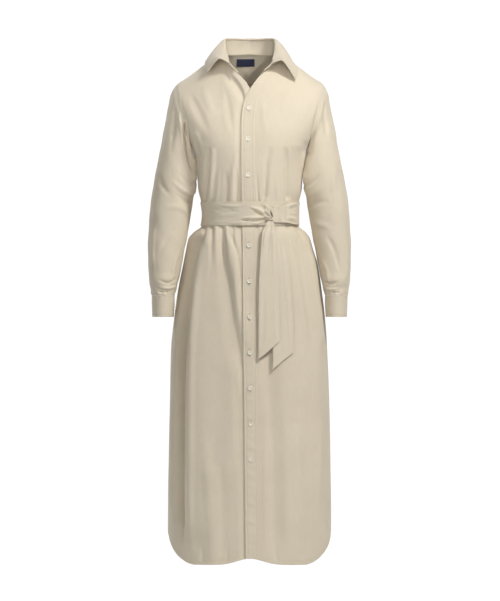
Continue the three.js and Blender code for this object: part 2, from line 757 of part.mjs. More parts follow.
function yokeTurnsFor(shoulderTurns) {
  const neckTurns = YOKE_NECK_X.map((x) => (x === 0 ? 0 : turnForNeckX(x)));
  const rightHalf = [...shoulderTurns.right.map((t) => 2 - t).reverse(), ...neckTurns.map((t) => 2 - t)];
  const leftNeck = neckTurns.slice(0, -1).map((t) => 2 + t).reverse();
  const leftHalf = [...leftNeck, ...shoulderTurns.left.map((t) => 2 + t)];
  return [...rightHalf, ...leftHalf].map((turn) => clamp(turn, 1 + SEAM_MARGIN, 3 - SEAM_MARGIN));
}

function yokeGrid(turns) {
  return YOKE_SHARES.map((share) => turns.map((turn) => {
    const row = lerp(yokeSeamRow(turn), neckRow(turn), share);
    return { ...vertexOn(turn, row), turn, row };
  }));
}

function finishYoke(grid, shoulderCount) {
  const last = grid[0].length - 1;
  const top = grid[grid.length - 1];
  const seams = { armhole: {} };
  const sides = [{ name: 'right', column: 0, sign: 1 }, { name: 'left', column: last, sign: -1 }];
  for (const { name, column, sign } of sides) {
    const armhole = grid.map((row) => row[column]);
    for (const vertex of armhole) vertex.normal = armholeNormal(vertex.point, sign);
    seams.armhole[name] = armhole.map(copyOf);
    trim(armhole, new THREE.Vector3(sign, 0, 0));
  }
  seams.neckline = top.slice(shoulderCount - 1, last - shoulderCount + 2).map(copyOf);
  trim(grid[0], new THREE.Vector3(0, 0, -1));
  trim(top.slice(0, shoulderCount), new THREE.Vector3(0, -1, 0));
  trim(top.slice(last - shoulderCount + 1), new THREE.Vector3(0, -1, 0));
  trim(top.slice(shoulderCount - 1, last - shoulderCount + 2), towardNeck);
  return seams;
}

// Sleeves and cuffs

function sleevePoint(table, sideSign, at, angle) {
  const outer = new THREE.Vector3(table.outerX(at), 0, table.outerZ(at));
  const inner = new THREE.Vector3(table.innerX(at), 0, table.innerZ(at));
  const sine = Math.sin(angle);
  const point = outer.clone().lerp(inner, (1 - Math.cos(angle)) / 2);
  point.y = table.y(at) - sine * (sine > 0 ? table.front(at) : table.back(at));
  const degrees = (((angle * 180) / Math.PI) % 360 + 360) % 360;
  const centre = outer.add(inner).multiplyScalar(0.5);
  const out = point.clone().sub(centre).normalize();
  for (const fold of SLEEVE_FOLDS) {
    const round = Math.abs(((degrees - fold.degrees + 540) % 360) - 180);
    const reach = bell(at - fold.at, fold.along, fold.along) * bell(round, fold.round, fold.round);
    point.addScaledVector(out, fold.rise * reach);
  }
  point.x *= sideSign;
  return point;
}

function sleeveNormal(table, sideSign, at, angle) {
  const pointAt = (section, round) => sleevePoint(table, sideSign, section, round);
  const high = Math.min(SLEEVE_SECTIONS, at + SLEEVE_NORMAL_STEP);
  const low = Math.max(0, at - SLEEVE_NORMAL_STEP);
  const along = pointAt(high, angle).sub(pointAt(low, angle));
  const round = pointAt(at, angle + SLEEVE_NORMAL_STEP).sub(pointAt(at, angle - SLEEVE_NORMAL_STEP));
  return along.cross(round).normalize().multiplyScalar(-sideSign);
}

// Armhole vertices in order round the opening, from its foot up the front and down the back
function armholeRing(front, back, yoke) {
  const frontUp = [...front].reverse();
  const yokeDown = [...yoke].reverse().slice(1, -1);
  return [...frontUp, ...yokeDown, ...back.slice(0, -1)];
}

function sleeveGrid(ring, table, sideSign) {
  const topIndex = ring.reduce((best, vertex, i) => (vertex.point.z > ring[best].point.z ? i : best), 0);
  const topZ = table.outerZ(0);
  const footZ = table.innerZ(0);
  const angles = ring.map((vertex, i) => {
    const share = clamp((vertex.point.z - footZ) / (topZ - footZ), 0, 1);
    const angle = Math.acos(clamp(2 * share - 1, -1, 1));
    return i <= topIndex ? angle : -angle;
  });
  const grid = [ring.map(copyOf)];
  trimClosed(grid[0], new THREE.Vector3(-sideSign, 0, 0));
  for (let at = 1; at <= SLEEVE_SECTIONS; at += 1) {
    grid.push(angles.map((angle) => ({
      point: sleevePoint(table, sideSign, at, angle),
      normal: sleeveNormal(table, sideSign, at, angle),
    })));
  }
  return grid;
}

function trimClosed(run, toward) {
  const count = run.length;
  const wrapped = [run[count - 1], ...run, run[0]].map(copyOf);
  trim(wrapped, toward);
  run.forEach((vertex, i) => {
    vertex.point = wrapped[i + 1].point;
  });
}

function cuffPoint(table, sideSign, degrees, z) {
  const end = SLEEVE_SECTIONS;
  const down = (CUFF.top - z) / (CUFF.top - CUFF.foot);
  const outer = table.outerX(end) - CUFF.inset * down;
  const inner = table.innerX(end) + CUFF.flare * down;
  const angle = (degrees * Math.PI) / 180;
  const sine = Math.sin(angle);
  const turned = degrees - CUFF.lapStart;
  const lapShare = smooth(360 - CUFF.lap, 360, turned);
  const grow = lapShare * (DOUBLED + LAP_GAP + CUFF.lapSpare);
  const half = (outer - inner) / 2 + grow;
  const depth = (sine > 0 ? table.front(end) : table.back(end)) + grow;
  const x = (outer + inner) / 2 + half * Math.cos(angle);
  return new THREE.Vector3(sideSign * x, table.y(end) + CUFF.drop * down - depth * sine, z);
}

function cuffGrid(table, sideSign) {
  const levels = CUFF.rows.map((share) => lerp(CUFF.top, CUFF.foot, share));
  const points = levels.map((z) => range(CUFF.turns).map((i) => {
    const degrees = CUFF.lapStart + ((360 + CUFF.lap) * i) / CUFF.turns;
    return cuffPoint(table, sideSign, degrees, z);
  }));
  const middle = new THREE.Vector3(
    (sideSign * (table.outerX(SLEEVE_SECTIONS) + table.innerX(SLEEVE_SECTIONS))) / 2,
    table.y(SLEEVE_SECTIONS),
    0,
  );
  return withNormals(points, (p) => new THREE.Vector3(p.x - middle.x, p.y - middle.y, 0));
}

// Collar

function standTopAt(share) {
  const half = share < 0.5 ? STAND_TOP.left : STAND_TOP.right;
  const at = share < 0.5 ? share * 2 : (1 - share) * 2;
  return new THREE.Vector3(half.x(at), half.y(at), half.z(at));
}

function standGrid(neckline) {
  const lengths = [0];
  for (let i = 1; i < neckline.length; i += 1) {
    lengths.push(lengths[i - 1] + neckline[i].point.distanceTo(neckline[i - 1].point));
  }
  const total = lengths[lengths.length - 1];
  const points = STAND_ROWS.map((share) => neckline.map((vertex, i) => {
    const top = standTopAt(lengths[i] / total);
    const point = vertex.point.clone().lerp(top, share);
    const out = new THREE.Vector3(point.x, point.y - COLLAR_MIDDLE_Y, 0).normalize();
    return point.addScaledVector(out, STAND_BULGE * Math.sin(share * Math.PI));
  }));
  const grid = withNormals(points, (p) => new THREE.Vector3(p.x, p.y - COLLAR_MIDDLE_Y, 0));
  const foot = neckline.map(copyOf);
  trim(foot, (p) => towardNeck(p).negate());
  grid[0] = foot;
  return { grid, shares: lengths.map((length) => length / total) };
}

function standTopVertex(stand, share) {
  const { grid, shares } = stand;
  const top = grid[grid.length - 1];
  let i = 0;
  while (i < shares.length - 2 && share > shares[i + 1]) i += 1;
  const t = (share - shares[i]) / (shares[i + 1] - shares[i]);
  const point = top[i].point.clone().lerp(top[i + 1].point, t);
  const normal = top[i].normal.clone().lerp(top[i + 1].normal, t).normalize();
  const below = grid[grid.length - 2][i].point.clone().lerp(grid[grid.length - 2][i + 1].point, t);
  return { point, normal, up: point.clone().sub(below).normalize() };
}

// The fall's grid lines: its two ends, and each grid line of the stand between them, with their middles
function fallStations(stand) {
  const first = FALL_START / 2;
  const start = first + FALL_MARGIN;
  const inside = stand.shares.filter((share) => share > start && share < 1 - start);
  const lines = [first, ...inside, 1 - first];
  return lines.flatMap((share, i) => (i === 0 ? [share] : [(lines[i - 1] + share) / 2, share]));
}

function fallGrid(stand) {
  const stations = fallStations(stand);
  const points = FALL_ROWS.map((share) => stations.map((station) => {
    const half = station < 0.5 ? FALL.left : FALL.right;
    const at = station < 0.5 ? station * 2 : (1 - station) * 2;
    const { point, normal, up } = standTopVertex(stand, station);
    const start = point.addScaledVector(normal, -DOUBLED).addScaledVector(up, FALL_GAP);
    const lifted = start.clone().addScaledVector(up, FALL_LIFT);
    const rise = new THREE.Vector3(half.riseX(at), half.riseY(at), half.riseZ(at));
    const turn = new THREE.Vector3(half.turnX(at), half.turnY(at), half.turnZ(at));
    const edge = new THREE.Vector3(half.edgeX(at), half.edgeY(at), half.edgeZ(at));
    const rest = 1 - share;
    return start.multiplyScalar(rest ** 4)
      .addScaledVector(lifted, 4 * share * rest ** 3)
      .addScaledVector(rise, 6 * share ** 2 * rest ** 2)
      .addScaledVector(turn, 4 * share ** 3 * rest)
      .addScaledVector(edge, share ** 4);
  }));
  const grid = withNormals(points, (p) => new THREE.Vector3(p.x, p.y - COLLAR_MIDDLE_Y, FALL_UP));
  grid[0].forEach((vertex, i) => {
    vertex.normal = standTopVertex(stand, stations[i]).normal.negate();
  });
  return grid;
}

// Placket, label and buttons

function placketGrid(front, firstRow) {
  return front.slice(firstRow).map((row, r) => [0, 1, 2].map((c) => {
    const { point, normal } = row[c];
    const next = row[c === 2 ? 1 : c + 1].point;
    const inset = c === 1 ? 0 : PLACKET_INSET;
    const moved = point.clone().addScaledVector(next.clone().sub(point).normalize(), inset);
    if (r === 0) moved.z -= SEAM_GAP;
    return { point: moved.addScaledVector(normal, SEAM_GAP + STRIP), normal };
  }));
}

function labelGrid() {
  const { rows, columns: count, halfWidth } = NECK_LABEL;
  const levels = range(rows).map((i) => lerp(NECK_LABEL.top, NECK_LABEL.foot, i / rows));
  return levels.map((z) => range(count).map((i) => {
    const x = NECK_LABEL.x + lerp(-halfWidth, halfWidth, i / count);
    const row = rootOf((r) => z - bodyPoint(2, r).z, 0, NECK_ROW_LIMIT);
    const turn = rootOf((t) => x - bodyPoint(t, row).x, 2 - NECK_TURN_LIMIT, 2 + NECK_TURN_LIMIT);
    const { point, normal } = vertexOn(turn, row);
    const depth = CLOTH + NECK_LABEL.clearance;
    return { point: point.addScaledVector(normal, -depth), normal };
  }));
}

function buttonGeometry() {
  const { radius, depth, rim, dish, dishDepth } = BUTTON;
  const profile = [
    [0, 0], [radius - rim, 0], [radius, rim], [radius, depth - rim], [radius - rim, depth],
    [dish, depth - dishDepth], [0, depth - dishDepth],
  ].map(([x, y]) => new THREE.Vector2(x, y));
  return welded(new THREE.LatheGeometry(profile, BUTTON.sides));
}

function welded(geometry) {
  geometry.deleteAttribute('normal');
  geometry.deleteAttribute('uv');
  return mergeVertices(geometry, 1e-4);
}

function placeButton(mesh, vertex, lift) {
  const up = new THREE.Vector3(0, 1, 0);
  mesh.quaternion.setFromUnitVectors(up, vertex.normal);
  mesh.position.copy(vertex.point).addScaledVector(vertex.normal, lift);
}

function frontAtLevel(edge, sideSign, z, offset) {
  const guess = rootOf((row) => z - bodyPoint(0, row).z, 0, 3);
  let row = guess;
  for (let i = 0; i < 4; i += 1) {
    const turn = edgeTurn(edge, sideSign, row, offset);
    row = rootOf((r) => bodyPoint(sideSign * turn, r).z < z ? 1 : -1, 0, 3);
  }
  return vertexOn(sideSign * edgeTurn(edge, sideSign, row, offset), row);
}

// Sash

// The front's smooth ring at a place, and the way it faces
function bodySpot(x, z) {
  const turn = rootOf((t) => ringPoint(t, z).x - x, -FRONT_REACH, FRONT_REACH);
  const angle = (turn * Math.PI) / 2;
  const point = ringPoint(turn, z);
  const side = x >= 0 ? BODY_RINGS.right(z) : BODY_RINGS.left(z);
  const depth = BODY_RINGS.front(z);
  const normal = new THREE.Vector3(Math.sin(angle) / side, -Math.cos(angle) / depth, 0).normalize();
  return { point, normal };
}

function beltLift(x, y) {
  if (y > 0) return BELT.gap;
  return BELT.gap + BELT.bump * Math.exp(-(((x - BELT.bumpX) / BELT.bumpHalf) ** 2));
}

function beltGrid() {
  return BELT.levels.map((z) => range(BELT.columns - 1).map((i) => {
    const turn = -2 + (4 * i) / BELT.columns;
    const { point, normal } = vertexOn(turn, rowAtLevel(z));
    const lift = beltLift(point.x, point.y) + BELT.wall;
    return { point: point.addScaledVector(normal, lift), normal };
  }));
}

function knotGeometry() {
  const geometry = welded(new THREE.SphereGeometry(1, KNOT.around, KNOT.rows));
  const { point, normal } = bodySpot(KNOT.x, KNOT.z);
  const lift = beltLift(point.x, point.y) + BELT.wall + KNOT.gap + KNOT.halfDepth;
  const centre = point.clone().addScaledVector(normal, lift);
  const across = new THREE.Vector3(-normal.y, normal.x, 0);
  const position = geometry.getAttribute('position');
  const bulge = (value) => Math.sign(value) * Math.abs(value) ** KNOT.power;
  for (let i = 0; i < position.count; i += 1) {
    const [x, y, z] = [position.getX(i), position.getY(i), position.getZ(i)];
    const pinch = 1 - KNOT.pinch * Math.max(0, y);
    const moved = centre.clone()
      .addScaledVector(across, bulge(x) * KNOT.halfWidth * pinch)
      .addScaledVector(normal, bulge(z) * KNOT.halfDepth)
      .add(new THREE.Vector3(0, 0, bulge(y) * KNOT.halfHeight));
    position.setXYZ(i, moved.x, moved.y, moved.z);
  }
  return geometry;
}

// A ribbon folded back on itself: out along the belt, round, and back over itself
function loopGrid() {
  const outward = range(LOOP.steps).map((i) => ({ share: i / LOOP.steps, layer: 0 }));
  const homeward = range(LOOP.steps).map((i) => ({ share: 1 - i / LOOP.steps, layer: 1 }));
  const path = [...outward, { share: LOOP.bend, layer: 0.5 }, ...homeward];
  const points = [0, 0.5, 1].map((down) => path.map(({ share, layer }) => {
    const x = lerp(LOOP.from, LOOP.to, share);
    const z = lerp(LOOP.top, LOOP.foot, down);
    const { point, normal } = bodySpot(x, z);
    const swell = LOOP.bow * Math.sin(clamp(share, 0, 1) * Math.PI);
    const away = LOOP.gap + LOOP.wall / 2 + layer * (LOOP.wall + LOOP.layers + swell);
    return point.addScaledVector(normal, beltLift(point.x, point.y) + BELT.wall + away);
  }));
  return ribbonGrid(points, LOOP.wall);
}

// Outer face of a ribbon whose middle runs through these points
function ribbonGrid(points, thickness) {
  return points.map((row, r) => row.map((point, c) => {
    const across = row[Math.min(row.length - 1, c + 1)].clone().sub(row[Math.max(0, c - 1)]);
    const down = points[Math.min(points.length - 1, r + 1)][c].clone().sub(points[Math.max(0, r - 1)][c]);
    const normal = across.cross(down).normalize();
    return { point: point.clone().addScaledVector(normal, thickness / 2), normal };
  }));
}

function tailGrid(rows, tip) {
  const lines = rows.map((row) => ({ ...row, leftZ: row.z, rightZ: row.z }));
  const last = rows[rows.length - 1];
  lines.push({ ...last, leftZ: tip.left, rightZ: tip.right });
  const points = lines.map((line) => range(TAIL_COLUMNS).map((i) => {
    const share = i / TAIL_COLUMNS;
    const x = lerp(line.left, line.right, share);
    const z = lerp(line.leftZ, line.rightZ, share);
    const { point, normal } = bodySpot(x, z);
    return point.addScaledVector(normal, line.off + TAIL_WALL);
  }));
  return withNormals(points, () => new THREE.Vector3(0, -1, 0));
}

// The dress

const dress = new THREE.Group();

function add(name, geometry, material) {
  const mesh = new THREE.Mesh(geometry, material);
  mesh.name = name;
  dress.add(mesh);
  return mesh;
}

function nearestRow(grid, z) {
  const gaps = grid.map((row) => Math.abs(row[0].point.z - z));
  return gaps.indexOf(Math.min(...gaps));
}

const underGrid = frontGrid(EDGE_UNDER, -1);
const overGrid = frontGrid(EDGE_OVER, 1);
const underEnd = nearestRow(underGrid, STAND_END_Z);
const overEnd = nearestRow(overGrid, STAND_END_Z);
const shoulderTurns = {
  right: overGrid[0].map((vertex) => vertex.turn),
  left: underGrid[0].map((vertex) => vertex.turn),
};
sinkUnderLap(underGrid);
const underSeams = finishFront(underGrid, -1, underEnd);
const placket = placketGrid(overGrid, overEnd);
const overSeams = finishFront(overGrid, 1, overEnd);
const yokeTurns = yokeTurnsFor(shoulderTurns);
const back = backGrid(yokeTurns);
const backSeams = finishBack(back);
const yoke = yokeGrid(yokeTurns);
const yokeSeams = finishYoke(yoke, shoulderTurns.right.length);

add('front_right', wall(underGrid, CLOTH), COTTON);
add('front_left', wall(overGrid, CLOTH), COTTON);
add('placket', wall(placket, STRIP), COTTON);
add('back', wall(back, CLOTH), COTTON);
add('yoke', wall(yoke, CLOTH), COTTON);

const sleeveSides = [
  { name: 'right', sign: -1, table: SLEEVES.left, front: underSeams, rim: 'left' },
  { name: 'left', sign: 1, table: SLEEVES.right, front: overSeams, rim: 'right' },
];
for (const { name, sign, table, front, rim } of sleeveSides) {
  const ring = armholeRing(front.armhole, backSeams.armhole[rim], yokeSeams.armhole[rim]);
  add(`sleeve_${name}`, wall(sleeveGrid(ring, table, sign), CLOTH, true), COTTON);
  add(`cuff_${name}`, wall(cuffGrid(table, sign), DOUBLED), COTTON);
}

// The neckline runs from the right front's end of the stand, at -X, round the back to the left front's
const neckline = [
  ...[...underSeams.neckline].reverse(),
  ...[...yokeSeams.neckline].reverse().slice(1, -1),
  ...overSeams.neckline,
];
const stand = standGrid(neckline);
add('collar_stand', wall(stand.grid, DOUBLED), COTTON);
add('collar_fall', wall(fallGrid(stand), DOUBLED), COTTON);
add('neck_label', wall(labelGrid(), LABEL), NAVY);

add('belt_band', wall(beltGrid(), BELT.wall, true), FACING);
add('belt_knot', knotGeometry(), FACING);
add('belt_loop', wall(loopGrid(), LOOP.wall), FACING);
add('belt_tail_back', wall(tailGrid(TAIL_BACK, TAIL_BACK_TIP), TAIL_WALL), FACING);
add('belt_tail_front', wall(tailGrid(TAIL_FRONT, TAIL_FRONT_TIP), TAIL_WALL), FACING);

for (let i = 0; i < BUTTON_LEVELS.count; i += 1) {
  const z = i === 0 ? BUTTON_LEVELS.first : BUTTON_LEVELS.second - BUTTON_LEVELS.pitch * (i - 1);
  const mesh = add(`button_${String(i + 1).padStart(2, '0')}`, buttonGeometry(), SHELL);
  const lift = SEAM_GAP + STRIP + BUTTON.clearance;
  placeButton(mesh, frontAtLevel(EDGE_OVER, 1, z, BUTTON_FROM_EDGE), lift);
}
for (const { name, sign, table } of sleeveSides) {
  const z = lerp(CUFF.top, CUFF.foot, 0.5);
  const point = cuffPoint(table, sign, CUFF_BUTTON_DEGREES + 360, z);
  const near = cuffPoint(table, sign, CUFF_BUTTON_DEGREES + 361, z);
  const along = near.sub(point);
  const normal = new THREE.Vector3(along.y, -along.x, 0).normalize();
  const middleX = (sign * (table.outerX(SLEEVE_SECTIONS) + table.innerX(SLEEVE_SECTIONS))) / 2;
  const centre = new THREE.Vector3(middleX, table.y(SLEEVE_SECTIONS), z);
  if (normal.dot(point.clone().sub(centre)) < 0) normal.negate();
  placeButton(add(`cuff_button_${name}`, buttonGeometry(), SHELL), { point, normal }, BUTTON.clearance);
}

export default dress;
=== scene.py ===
import logging
import math
from dataclasses import dataclass, field
from enum import Enum
from typing import Callable, Sequence

import bpy
import numpy as np
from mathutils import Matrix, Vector
from numpy.typing import NDArray


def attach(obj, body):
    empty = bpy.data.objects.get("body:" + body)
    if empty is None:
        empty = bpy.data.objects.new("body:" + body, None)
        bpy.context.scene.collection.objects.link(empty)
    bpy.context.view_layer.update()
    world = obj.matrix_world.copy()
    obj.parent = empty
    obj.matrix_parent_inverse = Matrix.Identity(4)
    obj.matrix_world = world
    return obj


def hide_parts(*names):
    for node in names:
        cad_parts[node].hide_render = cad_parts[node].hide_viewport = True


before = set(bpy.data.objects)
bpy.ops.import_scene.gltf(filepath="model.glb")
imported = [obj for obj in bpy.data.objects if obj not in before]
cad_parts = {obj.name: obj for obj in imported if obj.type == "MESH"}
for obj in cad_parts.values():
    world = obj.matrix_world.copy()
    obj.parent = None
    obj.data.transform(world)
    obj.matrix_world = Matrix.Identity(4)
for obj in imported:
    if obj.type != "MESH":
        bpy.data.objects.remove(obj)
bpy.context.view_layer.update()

Array = NDArray[np.float64]
Row = Sequence[float]

LOG = logging.getLogger("shirt_dress")
MM = 0.001

# Cloth walls and the gaps between pieces, in millimetres
CLOTH = 1.8
DOUBLED = 2.2
STRIP = 1.2
SEAM_GAP = 0.3
LAP_GAP = 0.7


class Side(Enum):
    """An edge of a grid of cloth."""

    TOP = "top"
    FOOT = "foot"
    LEFT = "left"
    RIGHT = "right"


class Face(Enum):
    """A side of the body."""

    FRONT = "front"
    BACK = "back"


def smooth(start: float | Array, end: float | Array, value: float | Array) -> Array:
    """Eases from 0 at start to 1 at end.

    Args:
        start: The value that gives 0.
        end: The value that gives 1.
        value: Where to look.

    Returns:
        The eased share.
    """
    share = np.clip((value - start) / (end - start), 0.0, 1.0)
    return share * share * (3.0 - 2.0 * share)


def lerp(a: Array | float, b: Array | float, share: Array | float) -> Array:
    """Blends two values in a straight line."""
    return a + (b - a) * share


def unit(vectors: Array) -> Array:
    """Vectors of length one."""
    return vectors / np.maximum(np.linalg.norm(vectors, axis=-1, keepdims=True), 1e-12)


def stack(x: Array | float, y: Array | float, z: Array | float) -> Array:
    """Points from their three coordinates, spread to one shape."""
    return np.stack(np.broadcast_arrays(x, y, z), axis=-1).astype(float)


def bell(distance: Array, left: float, right: float) -> Array:
    """A round hump, 1 in the middle and 0 past its left and right reach."""
    share = np.abs(distance) / np.where(distance < 0, left, right)
    return np.where(share < 1, 0.5 * (1 + np.cos(np.pi * np.minimum(share, 1))), 0.0)


def root_of(f: Callable[[Array], Array], low: Array, high: Array) -> Array:
    """Finds where a rising function crosses zero, for many cases at once.

    Args:
        f: The function.
        low: Where it is below zero.
        high: Where it is above zero.

    Returns:
        The crossings.
    """
    a, b = np.broadcast_arrays(low, high)
    a, b = a.astype(float).copy(), b.astype(float).copy()
    for _ in range(32):
        middle = (a + b) / 2
        above = f(middle) > 0
        b = np.where(above, middle, b)
        a = np.where(above, a, middle)
    return (a + b) / 2


class SmoothCurve:
    """A curve through values that never overshoots them."""

    def __init__(self, keys: Row, values: Row) -> None:
        """Works out the slopes.

        Args:
            keys: Rising positions.
            values: The value at each.
        """
        order = np.argsort(keys)
        self.keys = np.asarray(keys, float)[order]
        self.values = np.asarray(values, float)[order]
        secant = np.diff(self.values) / np.diff(self.keys)
        slope = np.zeros(len(self.keys))
        slope[0], slope[-1] = secant[0], secant[-1]
        for i in range(1, len(secant)):
            if secant[i - 1] * secant[i] > 0:
                before = self.keys[i] - self.keys[i - 1]
                after = self.keys[i + 1] - self.keys[i]
                w1, w2 = 2 * after + before, after + 2 * before
                slope[i] = (w1 + w2) / (w1 / secant[i - 1] + w2 / secant[i])
        self.slope = slope

    def __call__(self, at: Array | float) -> Array:
        """The value at each position."""
        x = np.clip(at, self.keys[0], self.keys[-1])
        i = np.clip(np.searchsorted(self.keys, x, side="left") - 1, 0, len(self.keys) - 2)
        width = self.keys[i + 1] - self.keys[i]
        t = (x - self.keys[i]) / width
        rest = 1 - t
        return (
            self.values[i] * rest * rest * (1 + 2 * t)
            + self.values[i + 1] * t * t * (3 - 2 * t)
            + width * self.slope[i] * t * rest * rest
            - width * self.slope[i + 1] * t * t * rest
        )


def curves(names: str, rows: Sequence[Row]) -> dict[str, SmoothCurve]:
    """Turns a table into one curve for each column, over its first column.

    Args:
        names: The columns' names, first the key.
        rows: The table.

    Returns:
        The curves by name.
    """
    keys = [row[0] for row in rows]
    return {n: SmoothCurve(keys, [row[i + 1] for row in rows]) for i, n in enumerate(names.split()[1:])}


@dataclass(frozen=True)
class Crease:
    """A fold along a line on a face of the cloth.

    Attributes:
        points: The line, from its start.
        rise: Height of the fold in millimetres, negative for a valley.
        left: Reach to the left of a line that runs down.
        right: Reach to its right.
        start: Share of the length over which it comes in.
        end: Share over which it goes out.
        sharp: Above 1 the crest is narrower.
    """

    points: tuple[tuple[float, float], ...]
    rise: float
    left: float
    right: float
    start: float = 0.3
    end: float = 0.4
    sharp: float = 1.0

    def height(self, u: Array, v: Array) -> Array:
        """Height of the fold at points of the face.

        Args:
            u: Positions across.
            v: Positions up.

        Returns:
            The heights.
        """
        line = np.asarray(self.points, float)
        steps = np.linalg.norm(np.diff(line, axis=0), axis=1)
        at = np.concatenate([[0.0], np.cumsum(steps)])
        even = np.linspace(0, at[-1], 14)
        line = np.stack([SmoothCurve(at, line[:, 0])(even), SmoothCurve(at, line[:, 1])(even)], axis=1)
        reach = max(self.left, self.right)
        low, high = line.min(axis=0) - reach, line.max(axis=0) + reach
        near = (u > low[0]) & (u < high[0]) & (v > low[1]) & (v < high[1])
        out = np.zeros(np.shape(u))
        if not near.any():
            return out
        p = np.stack([u[near], v[near]], axis=1)[:, None, :]
        a, d = line[None, :-1], np.diff(line, axis=0)[None]
        length = np.maximum((d * d).sum(axis=2), 1e-9)
        t = np.clip(((p - a) * d).sum(axis=2) / length, 0, 1)
        off = p - (a + d * t[..., None])
        gap = np.linalg.norm(off, axis=2)
        best = gap.argmin(axis=1)
        rows = np.arange(len(best))
        cross = (d[0, best, 0] * off[rows, best, 1]) - (d[0, best, 1] * off[rows, best, 0])
        share = (best + t[rows, best]) / d.shape[1]
        fade = smooth(0, self.start, share) * smooth(1, 1 - self.end, share)
        narrow = 0.55 + 0.45 * fade
        signed = np.sign(cross) * gap[rows, best] / narrow
        out[near] = self.rise * fade * bell(signed, self.left, self.right) ** self.sharp
        return out


def creased(creases: Sequence[Crease], u: Array, v: Array) -> Array:
    """The height of several creases together."""
    return sum((crease.height(u, v) for crease in creases), np.zeros(np.shape(u)))


@dataclass
class Cloth:
    """A grid of points on the outer face of a cloth, with the way it faces at each.

    Attributes:
        points: Rows by columns by three, in millimetres.
        normals: The same shape.
        closed: True where the last column meets the first.
    """

    points: Array
    normals: Array
    closed: bool = False

    def away(self, side: Side) -> Array:
        """Distance of each point from an edge, along the grid."""
        axis = 0 if side in (Side.TOP, Side.FOOT) else 1
        steps = np.linalg.norm(np.diff(self.points, axis=axis), axis=2)
        if side in (Side.FOOT, Side.RIGHT):
            steps = np.flip(steps, axis=axis)
        zero = np.zeros_like(steps[:1]) if axis == 0 else np.zeros_like(steps[:, :1])
        total = np.concatenate([zero, np.cumsum(steps, axis=axis)], axis=axis)
        return np.flip(total, axis=axis) if side in (Side.FOOT, Side.RIGHT) else total

    def along(self, side: Side) -> Array:
        """Distance of each point along an edge, averaged over the grid."""
        other = {Side.TOP: Side.LEFT, Side.FOOT: Side.LEFT, Side.LEFT: Side.TOP, Side.RIGHT: Side.TOP}[side]
        return self.away(other)

    def lifted(self, height: Array | float) -> "Cloth":
        """The same cloth with its points moved out."""
        rise = np.broadcast_to(np.asarray(height, float), self.points.shape[:2])
        return Cloth(self.points + self.normals * rise[..., None], self.normals, self.closed)

    def rows_kept(self, rows: slice) -> "Cloth":
        """Some of the rows."""
        return Cloth(self.points[rows], self.normals[rows], self.closed)

    def inset(self, side: Side, distance: float) -> tuple[Array, Array]:
        """A line at one distance inside an edge.

        Args:
            side: The edge.
            distance: How far inside, in millimetres.

        Returns:
            The line's points and normals.
        """
        away = self.away(side)
        points, normals = self.points, self.normals
        if side in (Side.TOP, Side.FOOT):
            away, points, normals = away.T, points.transpose(1, 0, 2), normals.transpose(1, 0, 2)
        if side in (Side.FOOT, Side.RIGHT):
            away, points, normals = away[:, ::-1], points[:, ::-1], normals[:, ::-1]
        hit = np.clip((away < distance).sum(axis=1), 1, away.shape[1] - 1)
        rows = np.arange(len(hit))
        before, after = away[rows, hit - 1], away[rows, hit]
        t = np.clip((distance - before) / np.maximum(after - before, 1e-9), 0, 1)[:, None]
        line = lerp(points[rows, hit - 1], points[rows, hit], t)
        return line, unit(lerp(normals[rows, hit - 1], normals[rows, hit], t))

    def cut_size(self) -> tuple[float, float, float]:
        """Width, length and area of the cloth laid flat, in metres."""
        width = self.away(Side.LEFT)[:, -1].max()
        if self.closed:
            width += np.linalg.norm(self.points[:, 0] - self.points[:, -1], axis=1).max()
        length = self.away(Side.TOP)[-1].max()
        p = self.points if not self.closed else np.concatenate([self.points, self.points[:, :1]], axis=1)
        a, b = p[1:, 1:] - p[:-1, :-1], p[1:, :-1] - p[:-1, 1:]
        area = 0.5 * np.linalg.norm(np.cross(a, b), axis=2).sum()
        return width * MM, length * MM, float(area) * MM * MM


def facing(points: Array, outward: Callable[[Array], Array], closed: bool = False) -> Cloth:
    """A cloth whose normals come from its points.

    Args:
        points: Rows by columns by three.
        outward: A vector on the outer side of each point.
        closed: True where the last column meets the first.

    Returns:
        The cloth.
    """
    if closed:
        across = np.roll(points, -1, axis=1) - np.roll(points, 1, axis=1)
    else:
        across = np.gradient(points, axis=1)
    normals = unit(np.cross(across, np.gradient(points, axis=0)))
    turned = (normals * outward(points)).sum(axis=2, keepdims=True) < 0
    return Cloth(points, np.where(turned, -normals, normals), closed)


